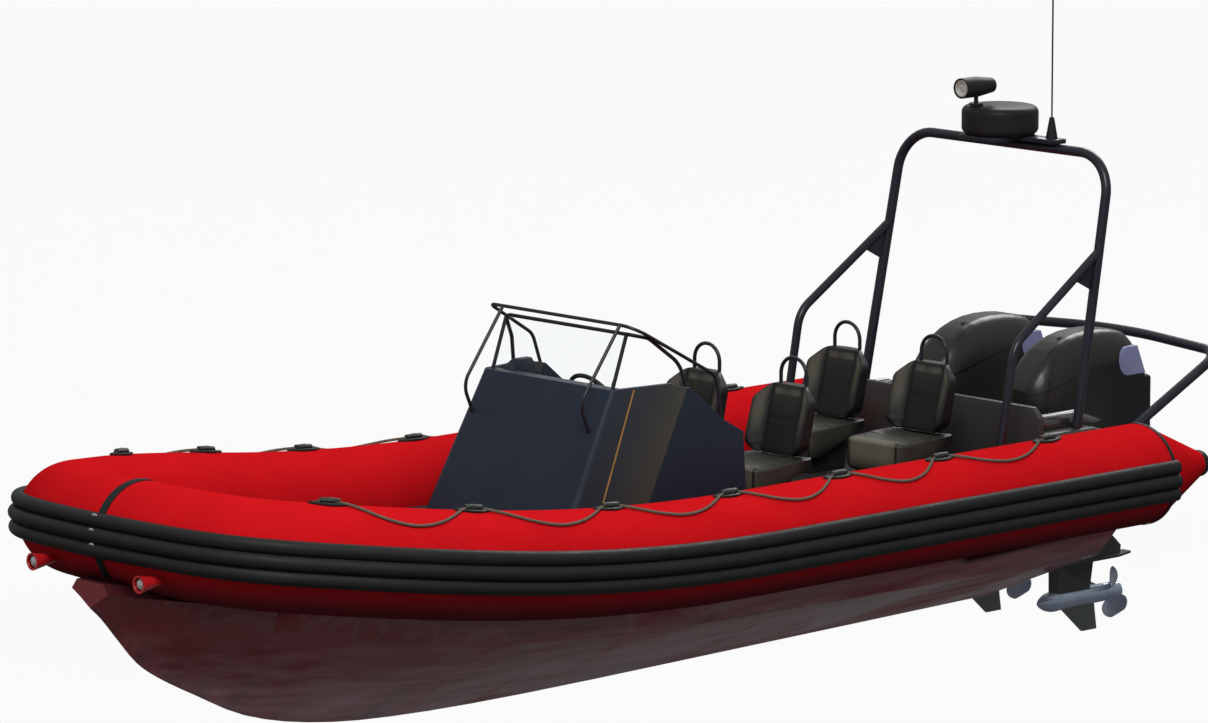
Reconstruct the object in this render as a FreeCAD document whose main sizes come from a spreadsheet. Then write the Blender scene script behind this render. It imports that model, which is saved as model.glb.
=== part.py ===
import FreeCAD, Part
import math
import os
import re
import Sketcher

# Rigid inflatable boat, about eight metres, with twin outboard engines.
# Millimetres. +X runs forward to the bow, +Y to port, +Z up.
# The origin is on the centreline at the waterline, amidships.

Vec = FreeCAD.Vector
doc = FreeCAD.newDocument("rigid_inflatable_boat")
sheet = doc.addObject("Spreadsheet::Sheet", "sizes")

# Driving sizes: name, value. Lengths in mm, angles in degrees.
SIZES = (
    # inflatable collar
    ("tube_radius", 293), ("tube_side", 1220), ("tube_height", 387), ("tube_aft", -3390),
    ("sheer_start", -200), ("sheer_bend_radius", 13700), ("sheer_angle", 7.3),
    ("shoulder_radius", 2270), ("shoulder_angle", 26), ("shoulder_run", 250),
    ("bow_corner_radius", 490), ("bow_corner_angle", 79.1),
    ("seat_gap", 0.3), ("cone_length", 490), ("cone_tip_radius", 78), ("cone_cap_length", 60),
    ("rib_radius", 41), ("rib_pitch", 78), ("rib_stand", 14),
    ("strap_width", 60), ("strap_thickness", 5),
    ("lamp_side", 440), ("lamp_height", 538), ("lamp_face", 3443), ("lamp_length", 190),
    ("lamp_radius", 48), ("lamp_tail_radius", 14), ("lens_radius", 33), ("lens_depth", 25),
    ("stem_head_ahead", 297), ("stem_head_drop", 205),
    ("patch_length", 150), ("patch_width", 100), ("patch_thickness", 10), ("patch_tilt", 4),
    ("line_radius", 8), ("line_clearance", 5.5), ("line_bedding", 1.5), ("line_hang", 35),
    # hull and deck
    ("transom_aft", -3410), ("transom_thickness", 62), ("transom_top", 230),
    ("deck_height", 362), ("deck_thickness", 60),
    ("well_floor", 40), ("well_half_width", 640), ("stem_head", 2900),
    ("bulkhead_front", -2895), ("bulkhead_thickness", 40), ("bulkhead_top", 785),
    ("bulkhead_half_width", 900),
    ("pod_inner", 700), ("pod_outer", 922), ("pod_aft", -3560), ("pod_top", 630),
    ("ridge_side", 766), ("ridge_radius", 60), ("ridge_top", 716), ("ridge_fall", -3330),
    # console and windscreen
    ("console_front_top", 140), ("console_front_foot", 585), ("console_top", 1195),
    ("console_fold", -390), ("console_fold_foot", 65), ("console_aft", -790),
    ("console_half_top", 600), ("console_half_foot", 650), ("console_corner_top", 530),
    ("console_corner_foot", 585), ("console_corner_radius", 50), ("console_wall", 30),
    ("dash_top_x", -200), ("dash_lip_x", -600), ("dash_step", 90), ("dash_drop", 265),
    ("dash_brow", 80),
    ("panel_thickness", 8), ("binnacle_side", 385), ("binnacle_height", 55),
    ("cheek_knee_x", -640), ("cheek_knee_z", 954), ("cheek_aft_z", 864),
    ("screen_half", 488), ("screen_top", 1487), ("screen_lean", 108), ("screen_pipe", 22),
    ("pane_thickness", 6),
    ("rail_half", 476), ("rail_top", 1541), ("rail_x", 26), ("rail_pipe", 20),
    ("wheel_x", -560), ("wheel_side", 353), ("wheel_z", 950), ("wheel_radius", 175),
    ("wheel_rim", 13), ("wheel_lean", 30), ("helm_shaft_radius", 12), ("helm_boss_radius", 34),
    # seats
    ("seat_row_one", -1320), ("seat_row_pitch", 1140), ("seat_half_spacing", 353),
    ("cushion_length", 400), ("cushion_width", 450), ("cushion_top", 645),
    ("cushion_front_depth", 205), ("cushion_rear_depth", 45), ("cushion_overhang", 80),
    ("back_top", 1030), ("back_width", 450),
    ("back_top_width", 270), ("back_thickness", 105), ("back_lean", 11.5),
    ("bolster_reach", 58), ("back_panel_half", 125),
    ("hoop_width", 205), ("hoop_top", 1180), ("hoop_pipe", 22),
    ("pedestal_length", 300), ("pedestal_width", 330),
    # radar arch
    ("arch_pipe", 58), ("arch_foot_x", -3240), ("arch_foot_side", 870), ("arch_top", 2185),
    ("arch_top_side", 835), ("arch_lean", 11), ("arch_bend", 240),
    ("brace_foot_x", -2560), ("brace_knee_x", -2709), ("brace_knee_z", 1169),
    ("brace_side", 872), ("brace_head_z", 1640), ("brace_pipe", 50), ("brace_bend", 200),
    ("gusset_thickness", 8), ("radome_radius", 226), ("radome_height", 176),
    ("radome_x", -3490), ("radome_base", 2242), ("antenna_side", 366), ("antenna_top", 3060),
    ("light_length", 262), ("light_radius", 60), ("light_x", -3348), ("light_z", 2524),
    # rail round the engines
    ("guard_pipe", 58), ("guard_corner_x", -4400), ("guard_corner_side", 930),
    ("guard_corner_z", 950), ("guard_mid_x", -4545), ("guard_mid_z", 975),
    ("guard_foot_side", 900), ("guard_foot_z", 515), ("guard_bend", 150),
    # outboard engines
    ("engine_side", 390), ("tilt_x", -3445), ("tilt_z", 272), ("steer_x", -3505),
    ("clamp_inner", 125), ("clamp_thickness", 30), ("clamp_foot", -160), ("clamp_top", 312),
    ("tilt_pin_radius", 15), ("tilt_tube_radius", 30), ("barrel_radius", 36),
    ("barrel_bottom", -240), ("barrel_top", 308), ("shaft_radius", 22), ("running_gap", 0.05),
    ("yoke_gap", 6), ("yoke_thickness", 40),
    ("cowl_front", -3250), ("cowl_rear", -4205), ("cowl_half_width", 190),
    ("cowl_bottom", 450), ("cowl_apex", 1098), ("cowl_front_corner", 140),
    ("cowl_rear_corner", 60),
    ("leg_front", -3565), ("leg_rear", -3850), ("leg_half_width", 72), ("plate_z", -288),
    ("plate_tail", -4208), ("plate_half_width", 72), ("plate_thickness", 14),
    ("gear_z", -508), ("gear_radius", 58), ("gear_nose", -3428), ("gear_tail", -3980),
    ("skeg_tip", -719), ("prop_gap", 6), ("hub_radius", 54), ("hub_length", 132),
    ("prop_radius", 152), ("blade_thickness", 9), ("blade_pitch", 52),
)
for line, (name, value) in enumerate(SIZES, 1):
    sheet.set("A%d" % line, name)
    sheet.set("B%d" % line, str(value))
    sheet.setAlias("B%d" % line, name)
doc.recompute()

size = {name: float(sheet.get(name)) for name, value in SIZES}
NAMES = re.compile(r"\b(%s)\b" % "|".join(sorted(size, key=len, reverse=True)))
SIDES = (("port", 1), ("starboard", -1))
made = []


def bound(text):
    """An expression that reads the sheet, from one written with bare names."""
    return NAMES.sub(r"sizes.\1", text)


def value_of(text):
    return float(sheet.evalExpression(NAMES.sub(r"\1", text)))


def keep(item, label):
    item.Label = label
    made.append(item)
    return item


def primitive(kind, name, place, **sizes):
    """A Part primitive whose sizes and place are expressions of the sheet."""
    item = doc.addObject("Part::" + kind, name)
    for key, text in sizes.items():
        item.setExpression(key, bound(text))
    for axis, text in zip("xyz", place):
        item.setExpression("Placement.Base." + axis, bound(text))
    return item


def turned(item, axis, angle):
    item.Placement = FreeCAD.Placement(item.Placement.Base, FreeCAD.Rotation(axis, angle))
    return item


def feature(label, shape):
    item = doc.addObject("Part::Feature", label)
    item.Shape = shape
    return keep(item, label)


def joined(label, solids):
    """Solids that don't touch, as one node."""
    return feature(label, Part.makeCompound(solids) if len(solids) > 1 else solids[0])


def fused(solids):
    return solids[0].fuse(solids[1:]).removeSplitter()


def mirrored(shape):
    return shape.mirror(Vec(0, 0, 0), Vec(0, 1, 0))


def polygon(points):
    return Part.makePolygon([Vec(*point) for point in list(points) + [points[0]]])


def slab(points, along):
    """A flat outline pushed along a vector."""
    return Part.Face(polygon(points)).extrude(Vec(*along))


def plate(label, plane, corners, low, high, holes=()):
    """A PartDesign body: a sketch of bound corners, padded from low to high across its plane."""
    body = doc.addObject("PartDesign::Body", label)
    base = [item for item in body.Origin.OriginFeatures if item.Role == plane][0]
    sketch = body.newObject("Sketcher::SketchObject", label + "_sketch")
    sketch.AttachmentSupport = [(base, "")]
    sketch.MapMode = "FlatFace"
    points = [(value_of(across), value_of(up)) for across, up in corners]
    count = len(points)
    for index in range(count):
        first, second = points[index], points[(index + 1) % count]
        sketch.addGeometry(Part.LineSegment(Vec(*first, 0), Vec(*second, 0)))
    for index in range(count):
        sketch.addConstraint(Sketcher.Constraint("Coincident", index, 2, (index + 1) % count, 1))
    for index, corner in enumerate(corners):
        for kind, text, number in zip(("DistanceX", "DistanceY"), corner, points[index]):
            mark = sketch.addConstraint(Sketcher.Constraint(kind, -1, 1, index, 1, number))
            sketch.setExpression("Constraints[%d]" % mark, bound(text))
    start = "-(%s)" % high if plane == "XZ_Plane" else low
    sketch.setExpression("AttachmentOffset.Base.z", bound(start))
    pad = body.newObject("PartDesign::Pad", label + "_pad")
    pad.Profile = sketch
    pad.setExpression("Length", bound("(%s) - (%s)" % (high, low)))
    return keep(body, label)


def wedge(label, place, low, high, bottom, top):
    """A block with a rectangular foot and head: low and high give x from, x to, half width."""
    item = doc.addObject("Part::Wedge", label)
    spans = zip(("Xmin", "Xmax", "X2min", "X2max"), low[:2] + high[:2])
    halves = (("Zmin", "-(%s)" % low[2]), ("Zmax", low[2]),
              ("Z2min", "-(%s)" % high[2]), ("Z2max", high[2]))
    for key, text in tuple(spans) + halves + (("Ymin", bottom), ("Ymax", top)):
        setattr(item, key, value_of(text))
        item.setExpression(key, bound(text))
    item.Placement = FreeCAD.Placement(Vec(0, 0, 0), FreeCAD.Rotation(Vec(1, 0, 0), 90))
    item.setExpression("Placement.Base.x", bound(place[0]))
    item.setExpression("Placement.Base.y", bound(place[1]))
    return item


def bent_pipe(points, bends, radius):
    """A round pipe along straight runs joined by tangent bends."""
    points = [Vec(*point) for point in points]
    solids = []
    start = points[0]
    for before, corner, after, bend in zip(points, points[1:], points[2:], bends):
        back = (before - corner).normalize()
        ahead = (after - corner).normalize()
        half = back.getAngle(ahead) / 2
        first = corner + back * (bend / math.tan(half))
        solids.append(Part.makeCylinder(radius, (first - start).Length, start, back * -1))
        centre = corner + (back + ahead).normalize() * (bend / math.sin(half))
        disc = Part.Face(Part.Wire(Part.makeCircle(radius, first, back * -1)))
        turn = back.cross(ahead)
        solids.append(disc.revolve(centre, turn * -1, 180 - math.degrees(2 * half)))
        start = corner + ahead * (bend / math.tan(half))
    last = points[-1]
    solids.append(Part.makeCylinder(radius, (last - start).Length, start, last - start))
    return fused(solids)


def bends_for(points):
    """The largest bend at each corner that leaves a straight piece of every run."""
    bends = []
    for before, corner, after in zip(points, points[1:], points[2:]):
        shorter = min((before - corner).Length, (after - corner).Length)
        half = (before - corner).getAngle(after - corner) / 2
        bends.append(0.45 * shorter * math.tan(half))
    return bends


def across(points):
    """The port half of a route, then its mirror image from the last point back."""
    return list(points) + [(x, -y, z) for x, y, z in reversed(points) if y > 0]


# ---- collar: one route from the stern, up the sheer, round the shoulder to the bow ----

def collar_route():
    """Steps of the port tube's axis: kind, radius, length or angle."""
    side = size["tube_side"]
    shoulder = math.radians(size["shoulder_angle"])
    corner = math.radians(size["bow_corner_angle"])
    side -= size["shoulder_radius"] * (1 - math.cos(shoulder))
    side -= size["shoulder_run"] * math.sin(shoulder)
    side -= size["bow_corner_radius"] * (math.cos(shoulder) - math.cos(corner))
    return (
        ("run", 0, size["sheer_start"] - size["tube_aft"]),
        ("rise", size["sheer_bend_radius"], size["sheer_angle"]),
        ("turn", size["shoulder_radius"], size["shoulder_angle"]),
        ("run", 0, size["shoulder_run"]),
        ("turn", size["bow_corner_radius"], size["bow_corner_angle"] - size["shoulder_angle"]),
        ("turn", side / math.cos(corner), 90 - size["bow_corner_angle"]),
    )


def carry(face, frame, steps):
    """Sweeps a face along the steps; gives the solids, the face and the frame at the end."""
    place, forward, up = frame
    solids = []
    for kind, radius, amount in steps:
        inward = forward.cross(up)
        if kind == "run":
            move = forward * amount
            solids.append(face.extrude(move))
            face = face.translated(move)
            place = place + move
            continue
        axis = inward if kind == "rise" else up * -1
        centre = place + (up if kind == "rise" else inward) * radius
        solids.append(face.revolve(centre, axis, amount))
        face = face.rotated(centre, axis, amount)
        turn = FreeCAD.Rotation(axis, amount)
        place = centre + turn.multVec(place - centre)
        forward = turn.multVec(forward)
        up = turn.multVec(up)
    return solids, face, (place, forward, up)


def stern_frame():
    return (Vec(size["tube_aft"], size["tube_side"], size["tube_height"]),
            Vec(1, 0, 0), Vec(0, 0, 1))


def tube_face(radius):
    place, forward, up = stern_frame()
    return Part.Face(Part.Wire(Part.makeCircle(radius, place, forward)))


def rib_face(margin=0):
    """Three rounded ribs side by side on the tube's outer face."""
    place, forward, up = stern_frame()
    discs = []
    for row in (-1, 0, 1):
        high = row * size["rib_pitch"]
        out = math.sqrt(size["tube_radius"] ** 2 - high ** 2) + size["rib_stand"]
        centre = place + Vec(0, out, high)
        circle = Part.makeCircle(size["rib_radius"] + margin, centre, forward)
        discs.append(Part.Face(Part.Wire(circle)))
    face = discs[0].fuse(discs[1:]).removeSplitter()
    return face.cut(tube_face(size["tube_radius"] + size["seat_gap"])).Faces[0]


STEPS = collar_route()
SIDE_STEPS, BOW_STEPS = STEPS[:2], STEPS[2:]


def along_collar(label, face):
    """The same section as a port piece, a starboard piece and one round the bow."""
    side, face, frame = carry(face, stern_frame(), SIDE_STEPS)
    bow, face, end = carry(face, frame, BOW_STEPS)
    side = fused(side)
    half = fused(bow)
    feature(label + "_port", side)
    feature(label + "_starboard", mirrored(side))
    feature(label + "_bow", half.fuse(mirrored(half)).removeSplitter())
    return end


def collar_space(margin):
    """The room that the whole collar takes, with a margin all round."""
    place, forward, up = stern_frame()
    face = tube_face(size["tube_radius"] + margin)
    solids, face, end = carry(face, stern_frame(), STEPS)
    overrun = size["tube_aft"] - size["transom_aft"] + size["cone_length"]
    solids.append(tube_face(size["tube_radius"] + margin).extrude(forward * -overrun))
    half = fused(solids)
    return half.fuse(mirrored(half)).removeSplitter()


bow_frame = along_collar("tube", tube_face(size["tube_radius"]))
along_collar("rub_strake", rib_face())
strake_bow = fused(carry(rib_face(size["seat_gap"]), stern_frame(), STEPS)[0])
collar = collar_space(size["seat_gap"])


def sheer(x):
    """How far the collar, and the deck with it, has risen at a station."""
    radius = size["sheer_bend_radius"]
    slope = math.radians(size["sheer_angle"])
    ahead = x - size["sheer_start"]
    reach = radius * math.sin(slope)
    if ahead <= 0:
        return 0
    if ahead < reach:
        return radius - math.sqrt(radius ** 2 - ahead ** 2)
    return radius * (1 - math.cos(slope)) + (ahead - reach) * math.tan(slope)


def stern_cones():
    cones = []
    for name, sign in SIDES:
        cone = primitive("Cone", "tube_cone_" + name,
                         ("tube_aft", "%d * tube_side" % sign, "tube_height"),
                         Radius1="tube_radius", Radius2="cone_tip_radius", Height="cone_length")
        cones.append(turned(cone, Vec(0, 1, 0), -90))
    doc.recompute()
    joined("tube_cones", [cone.Shape for cone in cones])
    caps = []
    x = size["tube_aft"] - size["cone_length"]
    for name, sign in SIDES:
        base = Vec(x, sign * size["tube_side"], size["tube_height"])
        cap = Part.makeCylinder(size["cone_tip_radius"], size["cone_cap_length"], base, Vec(-1, 0, 0))
        rim = [edge for edge in cap.Edges if edge.BoundBox.XMax < x - size["cone_cap_length"] / 2]
        caps.append(cap.makeFillet(size["cone_cap_length"] * 0.6, rim[:1]))
    joined("tube_cone_caps", caps)


stern_cones()


# ---- hull and deck ----

# station x, keel z, chine y, chine z, gunwale y
HULL_STATIONS = (
    (-3410, -505, 900, -130, 1080),
    (-1500, -535, 905, -120, 1085),
    (300, -560, 905, -85, 1085),
    (1300, -545, 870, -15, 1065),
    (1900, -490, 760, 43, 985),
    (2350, -385, 620, 110, 860),
    (2700, -223, 460, 164, 700),
    (2950, -94, 320, 211, 545),
    (3100, 9, 225, 246, 420),
    (3230, 153, 150, 285, 300),
    (3330, 270, 110, 335, 220),
    (3410, 345, 85, 400, 150),
)


def between(rows, share):
    """A row part way from the second to the third of four, on a smooth curve through all."""
    row = []
    for before, start, end, after in zip(*rows):
        rise, fall = (end - before) / 2, (after - start) / 2
        sag = 3 * (end - start) - 2 * rise - fall
        lift = rise + fall - 2 * (end - start)
        row.append(start + share * (rise + share * (sag + share * lift)))
    return row


def faired_stations():
    """The hull's stations with two more in each gap."""
    rows = [HULL_STATIONS[0]] + list(HULL_STATIONS) + [HULL_STATIONS[-1]]
    faired = []
    for index in range(len(HULL_STATIONS) - 1):
        faired += [between(rows[index:index + 4], step / 3) for step in range(3)]
    return faired + [HULL_STATIONS[-1]]


def deck_floor(x):
    return size["deck_height"] - size["deck_thickness"] + sheer(x)


def tube_foot(x):
    return size["tube_height"] - size["tube_radius"] + sheer(x)


def hull_section(x, keel, chine, chine_z, gunwale):
    low = tube_foot(x) - 9
    high = deck_floor(x) + 120 if x < size["stem_head"] else tube_foot(x) + 45
    half = ((chine, chine_z), (gunwale, low), (gunwale * 0.72, high))
    ring = [(0, keel)] + list(half) + [(-y, z) for y, z in reversed(half)]
    return polygon([(x, y, z) for y, z in ring])


def deck_profile(bottom, top, aft, front):
    """The side view of a layer that follows the sheer."""
    start = size["sheer_start"]
    slope = math.radians(size["sheer_angle"])
    end = start + size["sheer_bend_radius"] * math.sin(slope)
    middle = start + size["sheer_bend_radius"] * math.sin(slope / 2)
    lines = []
    for level in (bottom, top):
        stations = [Vec(x, 0, level + sheer(x)) for x in (aft, start, middle, end, front)]
        lines.append((Part.LineSegment(stations[0], stations[1]).toShape(),
                      Part.Arc(*stations[1:4]).toShape(),
                      Part.LineSegment(stations[3], stations[4]).toShape(), stations))
    low, high = lines
    closing = [Part.LineSegment(low[3][end_at], high[3][end_at]).toShape() for end_at in (0, -1)]
    edges = Part.__sortEdges__(list(low[:3]) + list(high[:3]) + closing)
    return Part.Face(Part.Wire(edges))


def hull_and_deck():
    sections = [hull_section(*station) for station in faired_stations()]
    hull = Part.makeLoft(sections, True, True)
    wide = size["tube_side"]
    bottom = size["deck_height"] - size["deck_thickness"]
    ahead = HULL_STATIONS[-1][0] + 400
    aft = size["pod_aft"] - 200
    air = deck_profile(bottom, bottom + 2000, aft, ahead).extrude(Vec(0, 2 * wide, 0))
    hull = hull.cut(air.translated(Vec(0, -wide, 0)))
    hull = hull.cut(collar)
    front = size["transom_aft"] + size["transom_thickness"]
    rear = size["bulkhead_front"] - size["bulkhead_thickness"]
    half = size["well_half_width"]
    well = Part.makeBox(rear - front, 2 * half, 1000, Vec(front, -half, size["well_floor"]))
    notch = Part.makeBox(200, 2 * half, 1000, Vec(front - 200, -half, size["transom_top"]))
    hull = hull.cut([well, notch])
    hull = max(hull.Solids, key=lambda solid: solid.Volume)
    feature("hull", hull)
    inner = deck_profile(bottom, size["deck_height"], rear, bow_frame[0].x)
    deck = inner.extrude(Vec(0, 2 * wide, 0)).translated(Vec(0, -wide, 0)).cut(collar)
    deck = min(deck.Solids, key=lambda solid: abs(solid.CenterOfMass.x + 200) + abs(solid.CenterOfMass.y))
    feature("deck", deck)
    return hull, deck


hull_solid, deck_solid = hull_and_deck()


# ---- fittings on the collar ----

def belt(circles, margin, first_angle, last_angle):
    """The outline of a taut belt over circles (across, up, radius), as edges from top to foot."""
    leaves = []
    for (x1, z1, r1), (x2, z2, r2) in zip(circles, circles[1:]):
        line_angle = math.atan2(z2 - z1, x2 - x1)
        leave = line_angle + math.acos((r1 - r2) / math.hypot(x2 - x1, z2 - z1))
        leaves.append(leave if leave < math.pi else leave - 2 * math.pi)
    starts = [math.radians(first_angle)] + leaves
    ends = leaves + [math.radians(last_angle)]
    edges = []
    for index, ((x, z, radius), start, end) in enumerate(zip(circles, starts, ends)):
        reach = radius + margin
        points = [Vec(x + reach * math.cos(a), 0, z + reach * math.sin(a))
                  for a in (start, (start + end) / 2, end)]
        if edges:
            edges.append(Part.LineSegment(last, points[0]).toShape())
        edges.append(Part.Arc(*points).toShape())
        last = points[2]
    return edges


def bow_strap():
    place, forward, up = bow_frame
    circles = [(0, 0, size["tube_radius"])]
    for row in (1, 0, -1):
        high = row * size["rib_pitch"]
        out = math.sqrt(size["tube_radius"] ** 2 - high ** 2) + size["rib_stand"]
        circles.append((out, high, size["rib_radius"]))
    slope = math.radians(size["sheer_angle"])
    ahead, drop = size["stem_head_ahead"], size["stem_head_drop"]
    circles.append((ahead * math.cos(slope) - drop * math.sin(slope),
                    -ahead * math.sin(slope) - drop * math.cos(slope), 10))
    inner = belt(circles, 2 * size["seat_gap"], 98, -50)
    outer = belt(circles, 2 * size["seat_gap"] + size["strap_thickness"], 98, -50)
    ends = [Part.LineSegment(inner[k].Vertexes[e].Point, outer[k].Vertexes[e].Point).toShape()
            for k, e in ((0, 0), (-1, -1))]
    wire = Part.Wire(Part.__sortEdges__(inner + outer + ends))
    half = size["strap_width"] / 2
    strap = Part.Face(wire).extrude(Vec(0, size["strap_width"], 0)).translated(Vec(0, -half, 0))
    strap = strap.rotated(Vec(0, 0, 0), Vec(0, 1, 0), -size["sheer_angle"])
    feature("bow_strap", strap.translated(place).cut(hull_solid))


def bow_lamps():
    housings = []
    lenses = []
    ahead = Vec(1, 0, 0)
    for name, sign in SIDES:
        face = Vec(size["lamp_face"], sign * size["lamp_side"], size["lamp_height"])
        back = face - ahead * size["lamp_length"]
        shell = Part.makeCone(size["lamp_tail_radius"], size["lamp_radius"],
                              size["lamp_length"], back, ahead)
        seat = Part.makeCylinder(size["lens_radius"] + 4, size["lens_depth"],
                                 face - ahead * size["lens_depth"], ahead)
        housings.append(shell.cut([seat, collar, strake_bow]))
        lens = Part.makeCylinder(size["lens_radius"] + 4, size["lens_depth"] * 0.6,
                                 face - ahead * size["lens_depth"], ahead)
        lenses.append(lens)
    joined("bow_lamp_housings", [max(item.Solids, key=lambda s: s.Volume) for item in housings])
    joined("bow_lamp_lenses", lenses)


def collar_point(x, side):
    """The collar axis, its outward and up directions at a station x, on one side."""
    place, forward, up = stern_frame()
    for kind, radius, amount in STEPS:
        inward = forward.cross(up)
        if kind == "run":
            reach = (x - place.x) / forward.x
            if reach <= amount:
                place = place + forward * reach
                break
            place = place + forward * amount
            continue
        axis = inward if kind == "rise" else up * -1
        centre = place + (up if kind == "rise" else inward) * radius
        low, high = 0.0, amount
        turned_to = lambda a: centre + FreeCAD.Rotation(axis, a).multVec(place - centre)
        if turned_to(amount).x >= x:
            for step in range(40):
                middle = (low + high) / 2
                low, high = (middle, high) if turned_to(middle).x < x else (low, middle)
            amount = low
        turn = FreeCAD.Rotation(axis, amount)
        place = turned_to(amount)
        forward = turn.multVec(forward)
        up = turn.multVec(up)
        if place.x >= x - 0.01:
            break
    outward = up.cross(forward)
    mirror = lambda v: Vec(v.x, v.y * side, v.z)
    return mirror(place), mirror(forward), mirror(outward), mirror(up)


# rope patches along each side: station, share of the full drop in the line's hang ahead of it
PATCHES = {
    "port": ((-2595, 0.9), (-1721, 1), (-915, 1), (-65, 0.9), (848, 1), (1834, 1.15), (2610, 0)),
    "starboard": ((-2490, 0.9), (-1650, 1), (-815, 1), (23, 0.9), (872, 1), (1600, 1.15),
                  (2310, 0)),
}


def rope_patches():
    pads = []
    for name, sign in SIDES:
        for x, hang in PATCHES[name]:
            place, forward, outward, up = collar_point(x, sign)
            tilt = math.radians(size["patch_tilt"])
            normal = up * math.cos(tilt) + outward * math.sin(tilt)
            along = forward * size["patch_length"]
            span = forward.cross(normal).normalize() * size["patch_width"]
            reach = size["tube_radius"] + size["patch_thickness"]
            corner = place + normal * (size["tube_radius"] * 0.9) - along * 0.5 - span * 0.5
            block = Part.Face(Part.makePolygon([corner, corner + along, corner + along + span,
                                                corner + span, corner]))
            block = block.extrude(normal * (reach - size["tube_radius"] * 0.9))
            solids = block.cut(collar).Solids
            pads.append(max(solids, key=lambda s: (s.CenterOfMass - place).dot(normal)))
    joined("rope_patches", pads)


# one hang of the lifeline between two patches: share of the way, share of the drop
LINE_HANG = ((0.13, 0.42), (0.31, 0.83), (0.52, 1), (0.73, 0.8), (0.89, 0.38))


def beside_collar(x, side, angle, reach):
    """A point at a station, an angle outboard of the top and a distance from the axis."""
    place, forward, outward, up = collar_point(x, side)
    turn = math.radians(angle)
    return place + (up * math.cos(turn) + outward * math.sin(turn)) * reach


def lifelines():
    tilt, radius = size["patch_tilt"], size["line_radius"]
    skin = size["tube_radius"] + radius + size["line_clearance"]
    on_patch = size["tube_radius"] + size["patch_thickness"] + radius - size["line_bedding"]
    half = size["patch_length"] * 0.4
    for name, side in SIDES:
        points = []
        for index, (x, hang) in enumerate(PATCHES[name]):
            points += [beside_collar(x + step, side, tilt, on_patch) for step in (-half, half)]
            if hang == 0:
                continue
            run = PATCHES[name][index + 1][0] - x - 2 * half
            for share, drop in LINE_HANG:
                angle = tilt + drop * hang * size["line_hang"]
                points.append(beside_collar(x + half + share * run, side, angle, skin))
        bends = bends_for(points)
        print("lifeline", name, "shortest bend", round(min(bends)))
        feature("lifeline_" + name, bent_pipe(points, bends, radius))


bow_strap()
bow_lamps()
rope_patches()
lifelines()


# ---- engine well wall and side pods ----

WELL_REAR = "bulkhead_front - bulkhead_thickness"
HULL_TOP = "deck_height - deck_thickness"


def pod_ridge():
    """The rounded ridge along the inner edge of the port pod, falling away aft."""
    radius, side, front = size["ridge_radius"], size["ridge_side"], value_of(WELL_REAR)
    rings = []
    for x, ring, top in ((front, radius, size["ridge_top"]),
                         (size["ridge_fall"], radius, size["ridge_top"]),
                         (size["pod_aft"] + 10, radius * 0.6, size["pod_top"] + 5)):
        circle = Part.makeCircle(ring, Vec(x, side, top - ring), Vec(1, 0, 0))
        rings.append(Part.Wire(circle))
    ridge = Part.makeLoft(rings, True, True)
    above = Part.makeBox(2000, 2 * radius + 20, 400,
                         Vec(front - 2000, side - radius - 10, size["pod_top"]))
    return ridge.common(above)


def stern_furniture():
    half, top = "bulkhead_half_width", "bulkhead_top"
    plate("well_bulkhead", "YZ_Plane",
          [("-" + half, "deck_height"), (half, "deck_height"), (half, top + " - 60"),
           (half + " - 60", top), ("60 - " + half, top), ("-" + half, top + " - 60")],
          WELL_REAR, "bulkhead_front")
    ridge = pod_ridge()
    for name, sign in SIDES:
        low, high = ("pod_inner", "pod_outer") if sign > 0 else ("-pod_outer", "-pod_inner")
        feature("pod_ridge_" + name, ridge if sign > 0 else mirrored(ridge))
        plate("stern_pod_" + name, "XZ_Plane",
              [(WELL_REAR, HULL_TOP), (WELL_REAR, "pod_top"), ("pod_aft + 220", "pod_top"),
               ("pod_aft", "pod_top - 65"), ("pod_aft", "pod_top - 240"),
               ("transom_aft", HULL_TOP)], low, high)


stern_furniture()


# ---- console ----

def console_outline(front, corner_side, fold, half, z):
    """One level of the console's outer skin: raked front, angled cheeks, straight sides."""
    radius = size["console_corner_radius"]
    aft = size["console_aft"]
    flank = Vec(fold - front, half - corner_side, 0).normalize()
    bend = Vec(front, corner_side, z)
    first = bend - Vec(0, radius, 0)
    second = bend + flank * radius
    middle = (first + second) * 0.5 + (bend - (first + second) * 0.5) * 0.4
    port = [first, middle, second, Vec(fold, half, z), Vec(aft, half, z)]
    star = [Vec(point.x, -point.y, z) for point in port]
    edges = [Part.LineSegment(star[0], port[0]), Part.Arc(*port[:3]),
             Part.LineSegment(port[2], port[3]), Part.LineSegment(port[3], port[4]),
             Part.LineSegment(port[4], star[4]), Part.LineSegment(star[4], star[3]),
             Part.LineSegment(star[3], star[2]), Part.Arc(*reversed(star[:3]))]
    return Part.Wire([edge.toShape() for edge in edges])


def front_face_x(z):
    """Where the console's raked front face stands at a height."""
    share = (size["console_top"] - z) / (size["console_top"] - size["deck_height"])
    return size["console_front_top"] + share * (size["console_front_foot"] - size["console_front_top"])


def dash_point(share):
    """A point of the sloping dash in the centre plane: 0 at its top, 1 at its lip."""
    x = size["dash_top_x"] + share * (size["dash_lip_x"] - size["dash_top_x"])
    z = size["console_top"] - size["dash_step"] - share * size["dash_drop"]
    return Vec(x, 0, z)


def wheel_line():
    """The wheel's centre and the direction of its shaft, out towards the helm."""
    lean = math.radians(size["wheel_lean"])
    centre = Vec(size["wheel_x"], -size["wheel_side"], size["wheel_z"])
    return centre, Vec(-math.cos(lean), 0, math.sin(lean))


def wheel_shaft_room():
    centre, axis = wheel_line()
    return Part.makeCylinder(size["helm_shaft_radius"] + 3, 110, centre - axis * 110, axis)


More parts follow.
